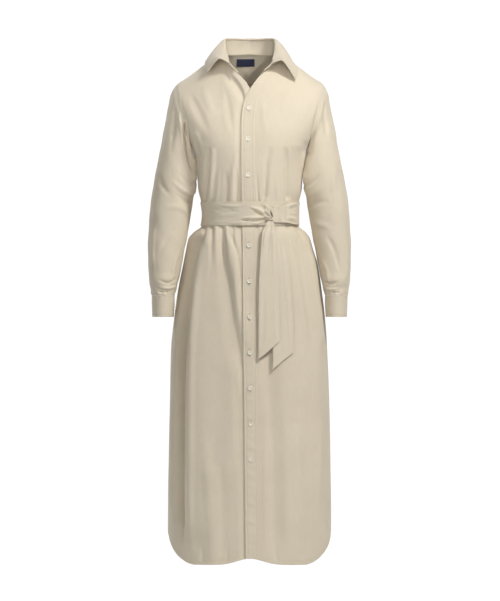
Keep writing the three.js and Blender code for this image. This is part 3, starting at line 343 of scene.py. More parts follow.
class Signal:
    """A socket whose value is worked with in ordinary arithmetic."""

    def __init__(self, nodes: "Nodes", socket: bpy.types.NodeSocket) -> None:
        """Keeps the socket and the tree it is in."""
        self.nodes = nodes
        self.socket = socket

    def math(self, operation: str, *others: "Signal | float", first: bool = True) -> "Signal":
        """A Math node on this value.

        Args:
            operation: The node's operation.
            others: The other values.
            first: False puts this value second.

        Returns:
            The result.
        """
        values = [self, *others] if first else [*others, self]
        return self.nodes.add("ShaderNodeMath", {"operation": operation}, dict(enumerate(values)))

    def __add__(self, other: "Signal | float") -> "Signal":
        """Sum."""
        return self.math("ADD", other)

    def __radd__(self, other: float) -> "Signal":
        """Sum."""
        return self.math("ADD", other)

    def __sub__(self, other: "Signal | float") -> "Signal":
        """Difference."""
        return self.math("SUBTRACT", other)

    def __rsub__(self, other: float) -> "Signal":
        """Difference the other way round."""
        return self.math("SUBTRACT", other, first=False)

    def __mul__(self, other: "Signal | float") -> "Signal":
        """Product."""
        return self.math("MULTIPLY", other)

    def __rmul__(self, other: float) -> "Signal":
        """Product."""
        return self.math("MULTIPLY", other)

    def sine(self) -> "Signal":
        """Its sine."""
        return self.math("SINE")

    def between(self, low: float, high: float) -> "Signal":
        """Eased from 0 at low to 1 at high."""
        settings = {"interpolation_type": "SMOOTHSTEP"}
        return self.nodes.add("ShaderNodeMapRange", settings, {"Value": self, "From Min": low, "From Max": high})


class Nodes:
    """A material's node tree."""

    def __init__(self, name: str) -> None:
        """Makes an empty material with its shader and output."""
        self.material = bpy.data.materials.new(name)
        self.material.use_nodes = True
        self.tree = self.material.node_tree
        self.shader = self.tree.nodes["Principled BSDF"]

    def add(self, kind: str, settings: dict, inputs: dict, output: int | str = 0) -> Signal:
        """Adds a node.

        Args:
            kind: The node's type.
            settings: Its properties, set first.
            inputs: Values or links by socket.
            output: The socket that is read.

        Returns:
            The output socket.
        """
        node = self.tree.nodes.new(kind)
        for key, value in settings.items():
            if key == "stops":
                for i, (position, color) in enumerate(value):
                    stop = node.color_ramp.elements[i] if i < 2 else node.color_ramp.elements.new(position)
                    stop.position, stop.color = position, (*color, 1.0)
            else:
                setattr(node, key, value)
        for key, value in inputs.items():
            self.set(node.inputs[key], value)
        return Signal(self, node.outputs[output])

    def set(self, socket: bpy.types.NodeSocket, value: Signal | float | Sequence[float]) -> None:
        """Links or sets a socket."""
        if isinstance(value, Signal):
            self.tree.links.new(value.socket, socket)
        else:
            socket.default_value = value

    def mix(self, share: Signal | float, a: Signal | Row, b: Signal | Row) -> Signal:
        """Blends two colours."""
        rgb = [(*c, 1.0) if not isinstance(c, Signal) else c for c in (a, b)]
        return self.add("ShaderNodeMix", {"data_type": "RGBA"}, {0: share, 6: rgb[0], 7: rgb[1]}, 2)

    def surface(self, **values: Signal | float | Row) -> bpy.types.Material:
        """Sets the shader's sockets, named with underscores for spaces."""
        for key, value in values.items():
            self.set(self.shader.inputs[key.replace("_", " ")], value)
        return self.material


@dataclass(frozen=True)
class Twill:
    """A cotton twill.

    Attributes:
        name: The material's name.
        warm: Its colour where the dye took well.
        pale: Its colour where threads and tone run paler, and on the raised ribs, where the paler colour is a painted
            highlight.
        rib: Distance between ribs, in millimetres.
        crumple: Height of the small wrinkles, in millimetres.
        sheen: Strength of the fuzz.
    """

    name: str
    warm: tuple[float, float, float]
    pale: tuple[float, float, float]
    rib: float = 0.75
    crumple: float = 0.35
    sheen: float = 0.25

    def material(self) -> bpy.types.Material:
        """Builds the weave, the small wrinkles and the uneven colour.

        Returns:
            The material.
        """
        nodes = Nodes(self.name)
        cut = nodes.add("ShaderNodeUVMap", {"uv_map": "cut"}, {})
        place = nodes.add("ShaderNodeTexCoord", {}, {}, "Object")
        axes = nodes.add("ShaderNodeSeparateXYZ", {}, {"Vector": cut})
        u = Signal(nodes, axes.socket.node.outputs[0])
        v = Signal(nodes, axes.socket.node.outputs[1])
        turn = 2 * math.pi / (self.rib * MM)
        ribs = ((u + v) * turn).sine()
        threads = ((u - v) * (turn * 2)).sine()
        slub = nodes.add("ShaderNodeTexNoise", {}, {"Vector": cut, "Scale": 420.0, "Detail": 3.0})
        streak = nodes.add("ShaderNodeMapping", {"vector_type": "POINT"}, {"Vector": cut, "Scale": (900.0, 40.0, 1.0)})
        thread = nodes.add("ShaderNodeTexNoise", {}, {"Vector": streak, "Scale": 1.0, "Detail": 2.0})
        weave = ribs * 0.5 + threads * 0.22 + slub * 0.8
        cloud = nodes.add("ShaderNodeTexNoise", {}, {"Vector": place, "Scale": 9.0, "Detail": 4.0, "Roughness": 0.6})
        small = nodes.add("ShaderNodeTexNoise", {}, {"Vector": place, "Scale": 26.0, "Detail": 3.0, "Distortion": 0.6})
        fine = nodes.add("ShaderNodeTexNoise", {}, {"Vector": place, "Scale": 85.0, "Detail": 2.0, "Distortion": 0.4})
        wrinkle = small * 0.75 + fine * 0.25
        lift = wrinkle * (self.crumple * 2) + weave * 0.045
        bump = nodes.add("ShaderNodeBump", {}, {"Strength": 1.0, "Distance": MM, "Height": lift})
        # The ribs' raised tops turn paler, a painted highlight; the threads and clouds give random tone.
        tone = (ribs * 0.12 + thread * 0.5 + cloud * 0.55).between(0.2, 0.85)
        colour = nodes.mix(tone, self.warm, self.pale)
        seam = nodes.add("ShaderNodeAttribute", {"attribute_name": "edge_wear"}, {}, "Fac")
        rubbed = nodes.mix(seam * thread * 0.5, colour, tuple(min(1.0, c * 1.1) for c in self.pale))
        rough = 0.86 + slub * 0.1
        return nodes.surface(
            Base_Color=rubbed,
            Roughness=rough,
            Normal=bump,
            Sheen_Weight=self.sheen,
            Sheen_Roughness=0.45,
            Specular_IOR_Level=0.25,
        )


@dataclass(frozen=True)
class Shell:
    """The polished shell of the buttons."""

    name: str = "shell_button"
    pale: tuple[float, float, float] = (0.93, 0.90, 0.80)
    deep: tuple[float, float, float] = (0.78, 0.72, 0.58)

    def material(self) -> bpy.types.Material:
        """Builds the clouded layers and the polish.

        Returns:
            The material.
        """
        nodes = Nodes(self.name)
        place = nodes.add("ShaderNodeTexCoord", {}, {}, "Object")
        wave = {"Vector": place, "Scale": 260.0, "Distortion": 5.0, "Detail": 2.0, "Detail Scale": 1.5}
        layers = nodes.add("ShaderNodeTexWave", {"wave_type": "BANDS"}, wave, "Fac")
        cloud = nodes.add("ShaderNodeTexNoise", {}, {"Vector": place, "Scale": 300.0, "Detail": 3.0})
        colour = nodes.mix((layers * 0.6 + cloud * 0.4).between(0.2, 0.8), self.deep, self.pale)
        bump = nodes.add("ShaderNodeBump", {}, {"Strength": 0.4, "Distance": 0.0001, "Height": layers})
        return nodes.surface(
            Base_Color=colour,
            Roughness=0.18 + cloud * 0.2,
            Normal=bump,
            Coat_Weight=0.5,
            Coat_Roughness=0.1,
        )


@dataclass(frozen=True)
class Thread:
    """Sewing thread, twisted from two plies."""

    name: str
    colour: tuple[float, float, float]

    def material(self) -> bpy.types.Material:
        """Builds the twist, with painted shade in its grooves.

        Returns:
            The material.
        """
        nodes = Nodes(self.name)
        place = nodes.add("ShaderNodeTexCoord", {}, {}, "Object")
        wave = {"Vector": place, "Scale": 900.0, "Distortion": 1.5}
        twist = nodes.add("ShaderNodeTexWave", {"bands_direction": "DIAGONAL"}, wave, "Fac")
        # The twist's grooves, where its bump is low, take the darker colour: painted shade.
        dark = tuple(c * 0.72 for c in self.colour)
        bump = nodes.add("ShaderNodeBump", {}, {"Strength": 0.6, "Distance": 0.0001, "Height": twist})
        colour = nodes.mix(twist, dark, self.colour)
        return nodes.surface(Base_Color=colour, Roughness=0.6 + twist * 0.15, Normal=bump, Sheen_Weight=0.3)


@dataclass(frozen=True)
class Shade:
    """Painted shade: a dark colour for cloth deep in a gap, which little light reaches."""

    name: str
    deep: tuple[float, float, float]
    pale: tuple[float, float, float]

    def material(self) -> bpy.types.Material:
        """Makes the material."""
        nodes = Nodes(self.name)
        place = nodes.add("ShaderNodeTexCoord", {}, {}, "Object")
        cloud = nodes.add("ShaderNodeTexNoise", {}, {"Vector": place, "Scale": 900.0})
        return nodes.surface(Base_Color=nodes.mix(cloud, self.deep, self.pale), Roughness=0.95)


@dataclass(frozen=True)
class Woven:
    """The woven neck label."""

    name: str = "woven_label"
    ground: tuple[float, float, float] = (0.012, 0.018, 0.055)
    painted_sheen_colour: tuple[float, float, float] = (0.03, 0.04, 0.10)

    def material(self) -> bpy.types.Material:
        """Builds the satin ribs, with a painted sheen on their raised tops.

        Returns:
            The material.
        """
        nodes = Nodes(self.name)
        cut = nodes.add("ShaderNodeUVMap", {"uv_map": "cut"}, {})
        axes = nodes.add("ShaderNodeSeparateXYZ", {}, {"Vector": cut})
        u = Signal(nodes, axes.socket.node.outputs[0])
        v = Signal(nodes, axes.socket.node.outputs[1])
        ribs = (v * (2 * math.pi / 0.0005)).sine() * (u * (2 * math.pi / 0.0009)).sine()
        cloud = nodes.add("ShaderNodeTexNoise", {}, {"Vector": cut, "Scale": 600.0, "Detail": 2.0})
        # The ribs' raised tops take the lighter colour: a painted sheen over the navy ground.
        colour = nodes.mix(ribs * 0.35 + cloud * 0.5, self.ground, self.painted_sheen_colour)
        bump = nodes.add("ShaderNodeBump", {}, {"Strength": 1.0, "Distance": 0.00006, "Height": ribs})
        return nodes.surface(Base_Color=colour, Roughness=0.55 + cloud * 0.2, Normal=bump, Sheen_Weight=0.2)


class Finishes:
    """All the finishes, made once."""

    def __init__(self) -> None:
        """Builds each material."""
        self.cotton = Twill("cotton_twill", (0.655, 0.575, 0.445), (0.74, 0.66, 0.525)).material()
        self.sash = Twill("sash_twill", (0.665, 0.59, 0.46), (0.75, 0.675, 0.54), crumple=0.25).material()
        self.shell = Shell().material()
        self.thread = Thread("sewing_thread", (0.72, 0.63, 0.48)).material()
        # Painted shade for the buttonhole slits.
        self.shade = Shade("buttonhole_slit_painted_shade", (0.10, 0.08, 0.05), (0.24, 0.19, 0.13)).material()
        # A near-black painted shade for the knot's hollow.
        self.knot_shade = Shade("knot_hollow_painted_shade", (0.035, 0.024, 0.014), (0.06, 0.043, 0.027)).material()
        self.label = Woven().material()
        self.label_thread = Thread("label_thread", (0.55, 0.52, 0.47)).material()


@dataclass
class Workroom:
    """Makes the Blender objects and parents them to the dress's root."""

    finishes: Finishes
    made: list[bpy.types.Object] = field(default_factory=list)

    def mesh(self, name: str, points: Array, faces: Sequence, material: bpy.types.Material) -> bpy.types.Object:
        """Makes a smooth mesh object from millimetres.

        Args:
            name: The object's name.
            points: Its vertices.
            faces: Its faces.
            material: Its finish.

        Returns:
            The object, riding on the dress.
        """
        mesh = bpy.data.meshes.new(name)
        rows = faces.tolist() if isinstance(faces, np.ndarray) else list(faces)
        mesh.from_pydata((np.asarray(points).reshape(-1, 3) * MM).tolist(), [], rows)
        mesh.shade_smooth()
        mesh.materials.append(material)
        made = bpy.data.objects.new(name, mesh)
        bpy.context.scene.collection.objects.link(made)
        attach(made, "root")
        self.made.append(made)
        triangles = sum(len(f) - 2 for f in rows)
        LOG.info("%s: %d triangles", name, triangles)
        return made

    def sew(
        self,
        name: str,
        cloth: Cloth,
        thickness: float,
        material: bpy.types.Material,
        free: Sequence[Side] = (),
        roll: float = 1.2,
    ) -> bpy.types.Object:
        """Makes a wall of cloth from its outer face.

        Args:
            name: The object's name.
            cloth: The outer face.
            thickness: The wall, in millimetres.
            material: Its finish.
            free: Edges that are folded and rounded.
            roll: How far in an edge rounds off.

        Returns:
            The object.
        """
        rows, columns = cloth.points.shape[:2]
        share = np.ones((rows, columns))
        wear = np.zeros((rows, columns))
        for side in free:
            away = cloth.away(side)
            inside = 1 - np.clip(away / roll, 0, 1)
            share = np.minimum(share, np.sqrt(np.clip(1 - inside * inside, 0.06, 1)))
            wear = np.maximum(wear, np.exp(-away / 1.5))
        middle = cloth.points - cloth.normals * (thickness / 2)
        reach = cloth.normals * (thickness / 2) * share[..., None]
        points = np.concatenate([(middle + reach).reshape(-1, 3), (middle - reach).reshape(-1, 3)])
        index = np.arange(rows * columns).reshape(rows, columns)
        if cloth.closed:
            index = np.concatenate([index, index[:, :1]], axis=1)
        half = rows * columns
        a, b, d, e = index[:-1, :-1], index[:-1, 1:], index[1:, :-1], index[1:, 1:]
        outer = np.stack([a, d, e, b], axis=-1).reshape(-1, 4)
        inner = np.stack([a, b, e, d], axis=-1).reshape(-1, 4) + half
        top, foot = index[0], index[-1]
        rims = [
            np.stack([top[:-1], top[1:], top[1:] + half, top[:-1] + half], axis=-1),
            np.stack([foot[1:], foot[:-1], foot[:-1] + half, foot[1:] + half], axis=-1),
        ]
        if not cloth.closed:
            left, right = index[:, 0], index[:, -1]
            rims += [
                np.stack([left[1:], left[:-1], left[:-1] + half, left[1:] + half], axis=-1),
                np.stack([right[:-1], right[1:], right[1:] + half, right[:-1] + half], axis=-1),
            ]
        faces = np.concatenate([outer, inner, *rims])
        spread = np.cross(cloth.points[1:, :-1] - cloth.points[:-1, :-1], cloth.points[:-1, 1:] - cloth.points[:-1, :-1])
        if (spread * cloth.normals[:-1, :-1]).sum() < 0:
            faces = faces[:, ::-1]
        made = self.mesh(name, points, faces, material)
        u, v = cloth.away(Side.LEFT) * MM, cloth.away(Side.TOP) * MM
        uv = np.tile(np.stack([u, v], axis=-1).reshape(-1, 2), (2, 1))
        loops = np.empty(len(made.data.loops), dtype=np.int32)
        made.data.loops.foreach_get("vertex_index", loops)
        layer = made.data.uv_layers.new(name="cut")
        layer.data.foreach_set("uv", uv[loops].ravel().astype(np.float32))
        worn = made.data.attributes.new("edge_wear", "FLOAT", "POINT")
        worn.data.foreach_set("value", np.tile(wear.ravel(), 2).astype(np.float32))
        return made

    def cloth_piece(
        self,
        name: str,
        node: str,
        cloth: Cloth,
        thickness: float,
        material: bpy.types.Material,
        slot: str,
        held: str,
        rests_on: Sequence[str] = (),
        free: Sequence[Side] = (),
        ease: float = 1.0,
    ) -> bpy.types.Object:
        """Sews a piece, hides the node that it stands for and works out its cut.

        Args:
            name: The object's name.
            node: The node that it replaces.
            cloth: Its outer face.
            thickness: Its wall.
            material: Its finish.
            slot: Not used.
            held: Not used.
            rests_on: Not used.
            free: Its rounded edges.
            ease: How much larger the flat cut is.

        Returns:
            The object.
        """
        made = self.sew(name, cloth, thickness, material, free)
        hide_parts(node)
        width, length, area = cloth.cut_size()
        flat = (round(width * ease, 3), round(length, 3))
        cut = min(area * ease, width * ease * length)
        return made

    def stitches(
        self,
        name: str,
        lines: Sequence[tuple[Array, Array]],
        material: bpy.types.Material,
        length: float = 2.5,
        pitch: float = 3.3,
        radius: float = 0.3,
        lift: float = 0.12,
    ) -> bpy.types.Object:
        """Sews rows of stitches along lines on the cloth.

        Args:
            name: The object's name.
            lines: Points and normals of each line.
            material: The thread.
            length: Length of a stitch.
            pitch: From one stitch to the next.
            radius: Half the thread's width.
            lift: How far its middle stands off the cloth.

        Returns:
            The object.
        """
        rings = ((0.0, 0.35, -0.25), (0.22, 1.0, 0.0), (0.78, 1.0, 0.0), (1.0, 0.35, -0.25))
        points: list[Array] = []
        for line, normals in lines:
            steps = np.linalg.norm(np.diff(line, axis=0), axis=1)
            at = np.concatenate([[0.0], np.cumsum(steps)])
            count = int((at[-1] - pitch) / pitch)
            if count < 1:
                continue
            starts = pitch * 0.5 + np.arange(count) * pitch
            spots = starts[:, None] + np.array([r[0] for r in rings])[None] * length
            place = np.stack([np.interp(spots, at, line[:, i]) for i in range(3)], axis=-1)
            normal = unit(np.stack([np.interp(spots, at, normals[:, i]) for i in range(3)], axis=-1))
            along = unit(place[:, -1:] - place[:, :1])
            side = unit(np.cross(along, normal))
            for i, (_, width, drop) in enumerate(rings):
                base = place[:, i] + normal[:, i] * (lift + drop * radius * 2)
                r = radius * width
                corner = [side[:, 0] * r, normal[:, i] * r, -side[:, 0] * r, -normal[:, i] * r]
                points.append(np.stack([base + c for c in corner], axis=1))
        chunk = len(rings)
        blocks = [np.stack(points[i : i + chunk], axis=1) for i in range(0, len(points), chunk)]
        every = np.concatenate(blocks).reshape(-1, 3)
        total = len(every) // (4 * chunk)
        pattern = [(0, 3, 2, 1), (4 * chunk - 4, 4 * chunk - 3, 4 * chunk - 2, 4 * chunk - 1)]
        for ring in range(chunk - 1):
            for k in range(4):
                n = (k + 1) % 4
                pattern.append((ring * 4 + k, ring * 4 + n, ring * 4 + 4 + n, ring * 4 + 4 + k))
        faces = (np.arange(total) * 4 * chunk)[:, None, None] + np.asarray(pattern)[None]
        return self.mesh(name, every, faces.reshape(-1, 4), material)


@dataclass
class Body:
    """The dress from shoulder to hem as one surface, which every panel shares.

    A turn runs from 0 at the centre front to 1 or -1 at the sides and 2 at the centre back. A row runs from 0 on
    the shoulder line to 1 at the chest, 2 under the sash and 3 at the hem.
    """

    chest_z: float = -215.0
    belt_foot_z: float = -418.0
    hem_z: float = -1257.0
    chest_half: float = 146.0
    shoulder_half: float = 180.0
    ridge_y: float = 4.5
    roundness: float = 2.2
    neck_half: float = 75.0
    neck_depth: float = 54.0
    rings: dict[str, SmoothCurve] = field(
        default_factory=lambda: curves(
            "z left right front back",
            (
                (-215, 146, 146, 118, 100), (-240, 139.5, 139.5, 116, 97), (-280, 132.5, 132.5, 111, 91),
                (-325, 129, 129, 103, 84), (-355, 122, 122, 98.5, 79.5), (-385, 118.5, 118.5, 96, 78),
                (-415, 121, 121, 97.5, 80.5), (-430, 140, 139, 104, 92), (-445, 153, 149, 108, 101),
                (-475, 160, 158, 112, 110), (-510, 167, 169, 116, 117), (-575, 180, 179, 120, 124),
                (-645, 189.5, 187.5, 122, 128), (-725, 197.5, 193, 125, 131), (-850, 200, 198, 130, 136),
                (-1000, 203, 201, 136, 142), (-1150, 205, 203, 142, 148), (-1257, 205, 203, 145, 151),
            ),
        )
    )
    ridge: SmoothCurve = field(
        default_factory=lambda: SmoothCurve((75, 92, 112, 132, 152, 180), (12, 2.5, -10, -25, -40, -58))
    )
    fold_top_fade: float = 40.0
    gain: float = 1.5
    chest_ease: float = 12.5
    folds: tuple[tuple, ...] = (
        ("front", -104, -424, -132, -575, -145, -1150, 8, 22, 60, 60),
        ("front", -126, -424, -160, -575, -179, -1100, -13, 30, 24, 60),
        ("front", -50, -424, -36, -540, -18, -670, 6, 14, 34, 60),
        ("front", -67, -424, -54, -575, -30, -730, -6, 36, 14, 60),
        ("front", 45, -620, 54, -850, 62, -1190, -7, 30, 30, 60),
        ("front", 108, -424, 132, -510, 158, -680, -6, 18, 24, 60),
        ("front", 128, -424, 152, -510, 178, -680, 5, 20, 18, 60),
        ("front", -95, -1000, -92, -1120, -90, -1250, 5, 26, 26, 60),
        ("front", 110, -900, 118, -1050, 124, -1250, 5, 34, 30, 60),
        ("front", -110, -343, -107, -285, -102, -225, -6, 12, 9, 9),
        ("front", -96, -343, -92, -290, -88, -238, 3, 9, 12, 9),
        ("front", -58, -343, -59, -310, -60, -268, -3, 9, 9, 9),
        ("front", 40, -343, 45, -285, 50, -212, -5, 10, 10, 9),
        ("front", 97, -343, 95, -285, 93, -218, -5, 11, 10, 9),
        ("back", -45, -343, -48, -290, -52, -230, -4, 12, 12, 9),
        ("back", 45, -343, 48, -290, 52, -230, -4, 12, 12, 9),
        ("back", -86, -343, -88, -295, -90, -245, -3, 12, 12, 9),
        ("back", 86, -343, 88, -295, 90, -245, -3, 12, 12, 9),
        ("back", -19, -343, -19, -200, -19, -56, -3, 9, 9, 9),
        ("back", 19, -343, 19, -200, 19, -56, -3, 9, 9, 9),
        ("back", -112, -424, -128, -620, -138, -1240, 8, 34, 40, 60),
        ("back", -40, -424, -46, -700, -52, -1240, -8, 34, 34, 60),
        ("back", 44, -424, 52, -700, 58, -1240, 8, 34, 34, 60),
        ("back", 118, -424, 132, -650, 142, -1240, -8, 34, 36, 60),
    )
    front_creases: tuple[Crease, ...] = (
        # Tucks of the bodice, from their stitched tops down into the sash
        Crease(((-100, -221), (-104, -280), (-111, -362)), -3.0, 6, 4, 0.06, 0.05, 1.2),
        Crease(((-93, -221), (-96, -280), (-103, -362)), 3.0, 4.5, 13, 0.06, 0.05, 1.1),
        Crease(((-85, -250), (-90, -310), (-95, -362)), -1.6, 5, 5, 0.5, 0.05, 1.2),
        Crease(((-78, -262), (-80, -310), (-85, -362)), 1.6, 5, 9, 0.5, 0.05),
        Crease(((-56, -292), (-57, -330), (-60, -362)), -1.8, 4, 4, 0.5, 0.05),
        Crease(((-30, -215), (-40, -280), (-46, -362)), 2.4, 12, 12, 0.5, 0.1),
        Crease(((-44, -240), (-34, -300), (-35, -362)), -2.2, 7, 6, 0.5, 0.05),
        Crease(((16, -272), (18, -320), (22, -362)), -2.2, 4, 5, 0.5, 0.05, 1.2),
        Crease(((40, -232), (38, -290), (34, -362)), -1.9, 6, 4, 0.2, 0.05, 1.2),
        Crease(((47, -228), (45, -290), (41, -362)), 1.7, 4, 12, 0.2, 0.05, 1.1),
        Crease(((66, -286), (68, -330), (70, -362)), 1.6, 7, 7, 0.5, 0.05),
        Crease(((87, -219), (89, -290), (92, -362)), -2.2, 6, 4, 0.06, 0.05, 1.3),
        Crease(((94, -219), (96, -280), (98, -342)), 2.0, 4, 10, 0.06, 0.4, 1.1),
        Crease(((109, -286), (108, -330), (107, -362)), -1.8, 4, 5, 0.5, 0.05),
        # Drag lines from the underarms
        Crease(((-141, -196), (-126, -238), (-112, -262)), -2.6, 8, 7, 0.15, 0.6),
        Crease(((-138, -178), (-118, -214), (-104, -222)), 2.2, 9, 8, 0.2, 0.6),
        Crease(((-140, -225), (-128, -262), (-122, -300)), -1.8, 6, 6, 0.2, 0.6),
        Crease(((141, -200), (130, -236), (122, -258)), -2.2, 7, 7, 0.2, 0.6),
        Crease(((139, -226), (131, -264), (126, -300)), 1.6, 7, 6, 0.2, 0.6),
        Crease(((-150, -84), (-124, -140), (-96, -196)), -1.8, 17, 15, 0.3, 0.5),
        Crease(((-118, -62), (-104, -110), (-82, -150)), 1.2, 17, 15, 0.4, 0.5),
        Crease(((-60, -70), (-50, -140), (-40, -196)), -1.6, 16, 12, 0.4, 0.4),
        Crease(((-54, -34), (-36, -55), (-21, -80), (-13, -114)), -4.6, 26, 6, 0.2, 0.35),
        Crease(((150, -96), (134, -140), (118, -170)), 1.8, 14, 12, 0.3, 0.5),
        Crease(((84, -70), (70, -118), (48, -150)), -1.4, 16, 14, 0.4, 0.5),
        Crease(((30, -100), (34, -150), (44, -196)), 1.2, 12, 12, 0.4, 0.5),
        # Gathers that spring from under the sash
        Crease(((-112, -414), (-118, -452), (-124, -500)), -2.4, 6, 7, 0.02, 0.7, 1.1),
        Crease(((-95, -414), (-97, -470), (-98, -560)), -2.8, 6, 8, 0.02, 0.75, 1.2),
        Crease(((-84, -414), (-84, -470), (-80, -590)), 2.4, 8, 10, 0.02, 0.8),
        Crease(((-70, -414), (-68, -460), (-62, -560)), -2.8, 5, 6, 0.02, 0.7, 1.3),
        Crease(((-58, -414), (-54, -470), (-44, -600)), 2.6, 7, 9, 0.02, 0.7, 1.1),
        Crease(((-44, -414), (-41, -450), (-38, -500)), -1.8, 5, 5, 0.02, 0.7),
        Crease(((18, -414), (20, -446), (22, -500)), -1.4, 5, 6, 0.02, 0.7),
        Crease(((90, -414), (97, -450), (104, -500)), -2.0, 6, 6, 0.02, 0.7, 1.2),
        Crease(((102, -414), (112, -452), (124, -520)), 2.0, 6, 7, 0.02, 0.7),
        Crease(((116, -414), (130, -450), (146, -520)), -2.2, 6, 6, 0.02, 0.7, 1.2),
        # Long drape of the skirt
        Crease(((-132, -470), (-156, -590), (-171, -800), (-173, -1000), (-171, -1214)), -19.0, 23, 10, 0.3, 0.12),
        Crease(((-116, -450), (-138, -590), (-151, -800), (-152, -1000), (-150, -1210)), 3.4, 8, 18, 0.25, 0.2),
        Crease(((-184, -640), (-185, -790), (-184, -960)), 4.6, 5, 6, 0.3, 0.5),
        Crease(((-56, -420), (-30, -490), (-19, -600)), -3.0, 8, 7, 0.15, 0.5, 1.2),
        Crease(((-183, -700), (-186, -860), (-182, -1040)), 2.4, 7, 8, 0.3, 0.4),
        Crease(((-118, -900), (-108, -1010), (-104, -1180)), 1.1, 18, 22, 0.4, 0.3),
        Crease(((-72, -980), (-66, -1100), (-64, -1244)), -0.9, 18, 22, 0.4, 0.1),
        Crease(((-146, -1040), (-136, -1150), (-128, -1236)), -1.3, 20, 22, 0.4, 0.15),
        Crease(((-40, -740), (-30, -900), (-26, -1100)), -1.4, 14, 10, 0.4, 0.5),
        Crease(((34, -800), (40, -960), (40, -1230)), 1.8, 12, 18, 0.4, 0.15),
        Crease(((84, -790), (90, -960), (96, -1238)), 1.6, 20, 16, 0.4, 0.15),
        Crease(((140, -640), (150, -820), (152, -1020)), -1.8, 16, 16, 0.4, 0.4),
        Crease(((168, -760), (176, -940), (172, -1130)), 2.2, 12, 10, 0.4, 0.3),
        Crease(((-122, -1206), (-118, -1226), (-120, -1249)), -1.6, 6, 7, 0.6, 0.05),
        Crease(((-58, -1214), (-56, -1232), (-57, -1250)), -1.2, 5, 6, 0.6, 0.05),
        Crease(((66, -1200), (64, -1224), (66, -1248)), -1.4, 6, 7, 0.6, 0.05),
        Crease(((128, -1180), (130, -1206), (128, -1238)), -1.4, 6, 6, 0.6, 0.05),
    )
    back_creases: tuple[Crease, ...] = (
        Crease(((-19, -62), (-19, -190), (-18, -362)), -1.8, 3, 4, 0.04, 0.05, 1.4),
        Crease(((19, -62), (19, -200), (18, -362)), -1.8, 4, 3, 0.04, 0.05, 1.4),
        Crease(((-48, -236), (-46, -300), (-42, -362)), -2.6, 4, 6, 0.3, 0.05, 1.3),
        Crease(((50, -228), (47, -300), (44, -362)), -2.6, 6, 4, 0.3, 0.05, 1.3),
        Crease(((-90, -250), (-87, -310), (-83, -362)), -2.2, 5, 6, 0.4, 0.05, 1.2),
        Crease(((92, -244), (88, -305), (84, -362)), -2.0, 6, 5, 0.4, 0.05, 1.2),
        Crease(((-66, -270), (-65, -320), (-62, -362)), 2.0, 9, 8, 0.5, 0.05),
        Crease(((70, -262), (68, -315), (64, -362)), 2.2, 8, 9, 0.5, 0.05),
        Crease(((-140, -200), (-122, -244), (-104, -268)), -2.2, 8, 8, 0.2, 0.6),
        Crease(((141, -194), (124, -240), (108, -258)), -2.4, 8, 8, 0.2, 0.6),
        Crease(((-128, -120), (-96, -170), (-74, -230)), 2.2, 16, 14, 0.3, 0.5),
        Crease(((130, -112), (102, -164), (80, -232)), 2.0, 14, 16, 0.3, 0.5),
        Crease(((-104, -414), (-109, -470), (-112, -560)), -2.6, 6, 8, 0.02, 0.7, 1.2),
        Crease(((-84, -414), (-86, -480), (-88, -600)), 2.6, 8, 9, 0.02, 0.7),
        Crease(((-62, -414), (-62, -470), (-60, -570)), -2.4, 6, 6, 0.02, 0.7, 1.2),
        Crease(((-28, -414), (-26, -480), (-24, -640)), 2.4, 8, 9, 0.02, 0.7),
        Crease(((6, -414), (6, -470), (8, -580)), -2.4, 6, 7, 0.02, 0.7, 1.2),
        Crease(((26, -414), (28, -470), (30, -560)), 1.8, 6, 7, 0.02, 0.7),
        Crease(((66, -414), (70, -470), (76, -590)), -2.6, 7, 6, 0.02, 0.7, 1.2),
        Crease(((90, -414), (96, -480), (104, -600)), 2.4, 8, 8, 0.02, 0.7),
        Crease(((112, -414), (122, -460), (132, -540)), -2.2, 6, 6, 0.02, 0.7, 1.2),
        Crease(((-160, -620), (-168, -800), (-170, -1000)), -2.4, 14, 12, 0.3, 0.4),
        Crease(((-84, -700), (-92, -900), (-90, -1180)), -2.2, 18, 18, 0.3, 0.2),
        Crease(((4, -760), (0, -960), (4, -1240)), 2.2, 20, 18, 0.4, 0.15),
        Crease(((92, -680), (98, -900), (96, -1220)), -2.4, 18, 20, 0.3, 0.15),
        Crease(((164, -640), (172, -860), (168, -1080)), 2.4, 12, 12, 0.3, 0.3),
        Crease(((-120, -1190), (-118, -1216), (-120, -1240)), -1.4, 6, 6, 0.6, 0.05),
        Crease(((70, -1204), (72, -1230), (70, -1250)), -1.2, 6, 6, 0.6, 0.05),
    )

    def __post_init__(self) -> None:
        """Makes the folds' curves."""
        self.fold_curves = [SmoothCurve((f[2], f[4], f[6]), (f[1], f[3], f[5])) for f in self.folds]

    def rounded(self, turn: Array, side: Array | float, depth: Array | float, z: Array | float) -> Array:
        """A point of a rounded ring.

        Args:
            turn: Where round the ring.
            side: Its half width.
            depth: Its depth there.
            z: Its level.

        Returns:
            The points.
        """
        angle = turn * math.pi / 2
        sine, cosine = np.sin(angle), np.cos(angle)
        total = np.abs(cosine / depth) ** self.roundness + np.abs(sine / side) ** self.roundness
        radius = total ** (-1 / self.roundness)
        return stack(radius * sine, -radius * cosine, z)

    def ring_point(self, turn: Array, z: Array) -> Array:
        """A point of the body at a level."""
        side = np.where(turn >= 0, self.rings["right"](z), self.rings["left"](z))
        depth = np.where(np.abs(turn) <= 1, self.rings["front"](z), self.rings["back"](z))
        return self.rounded(turn, side, depth, z)

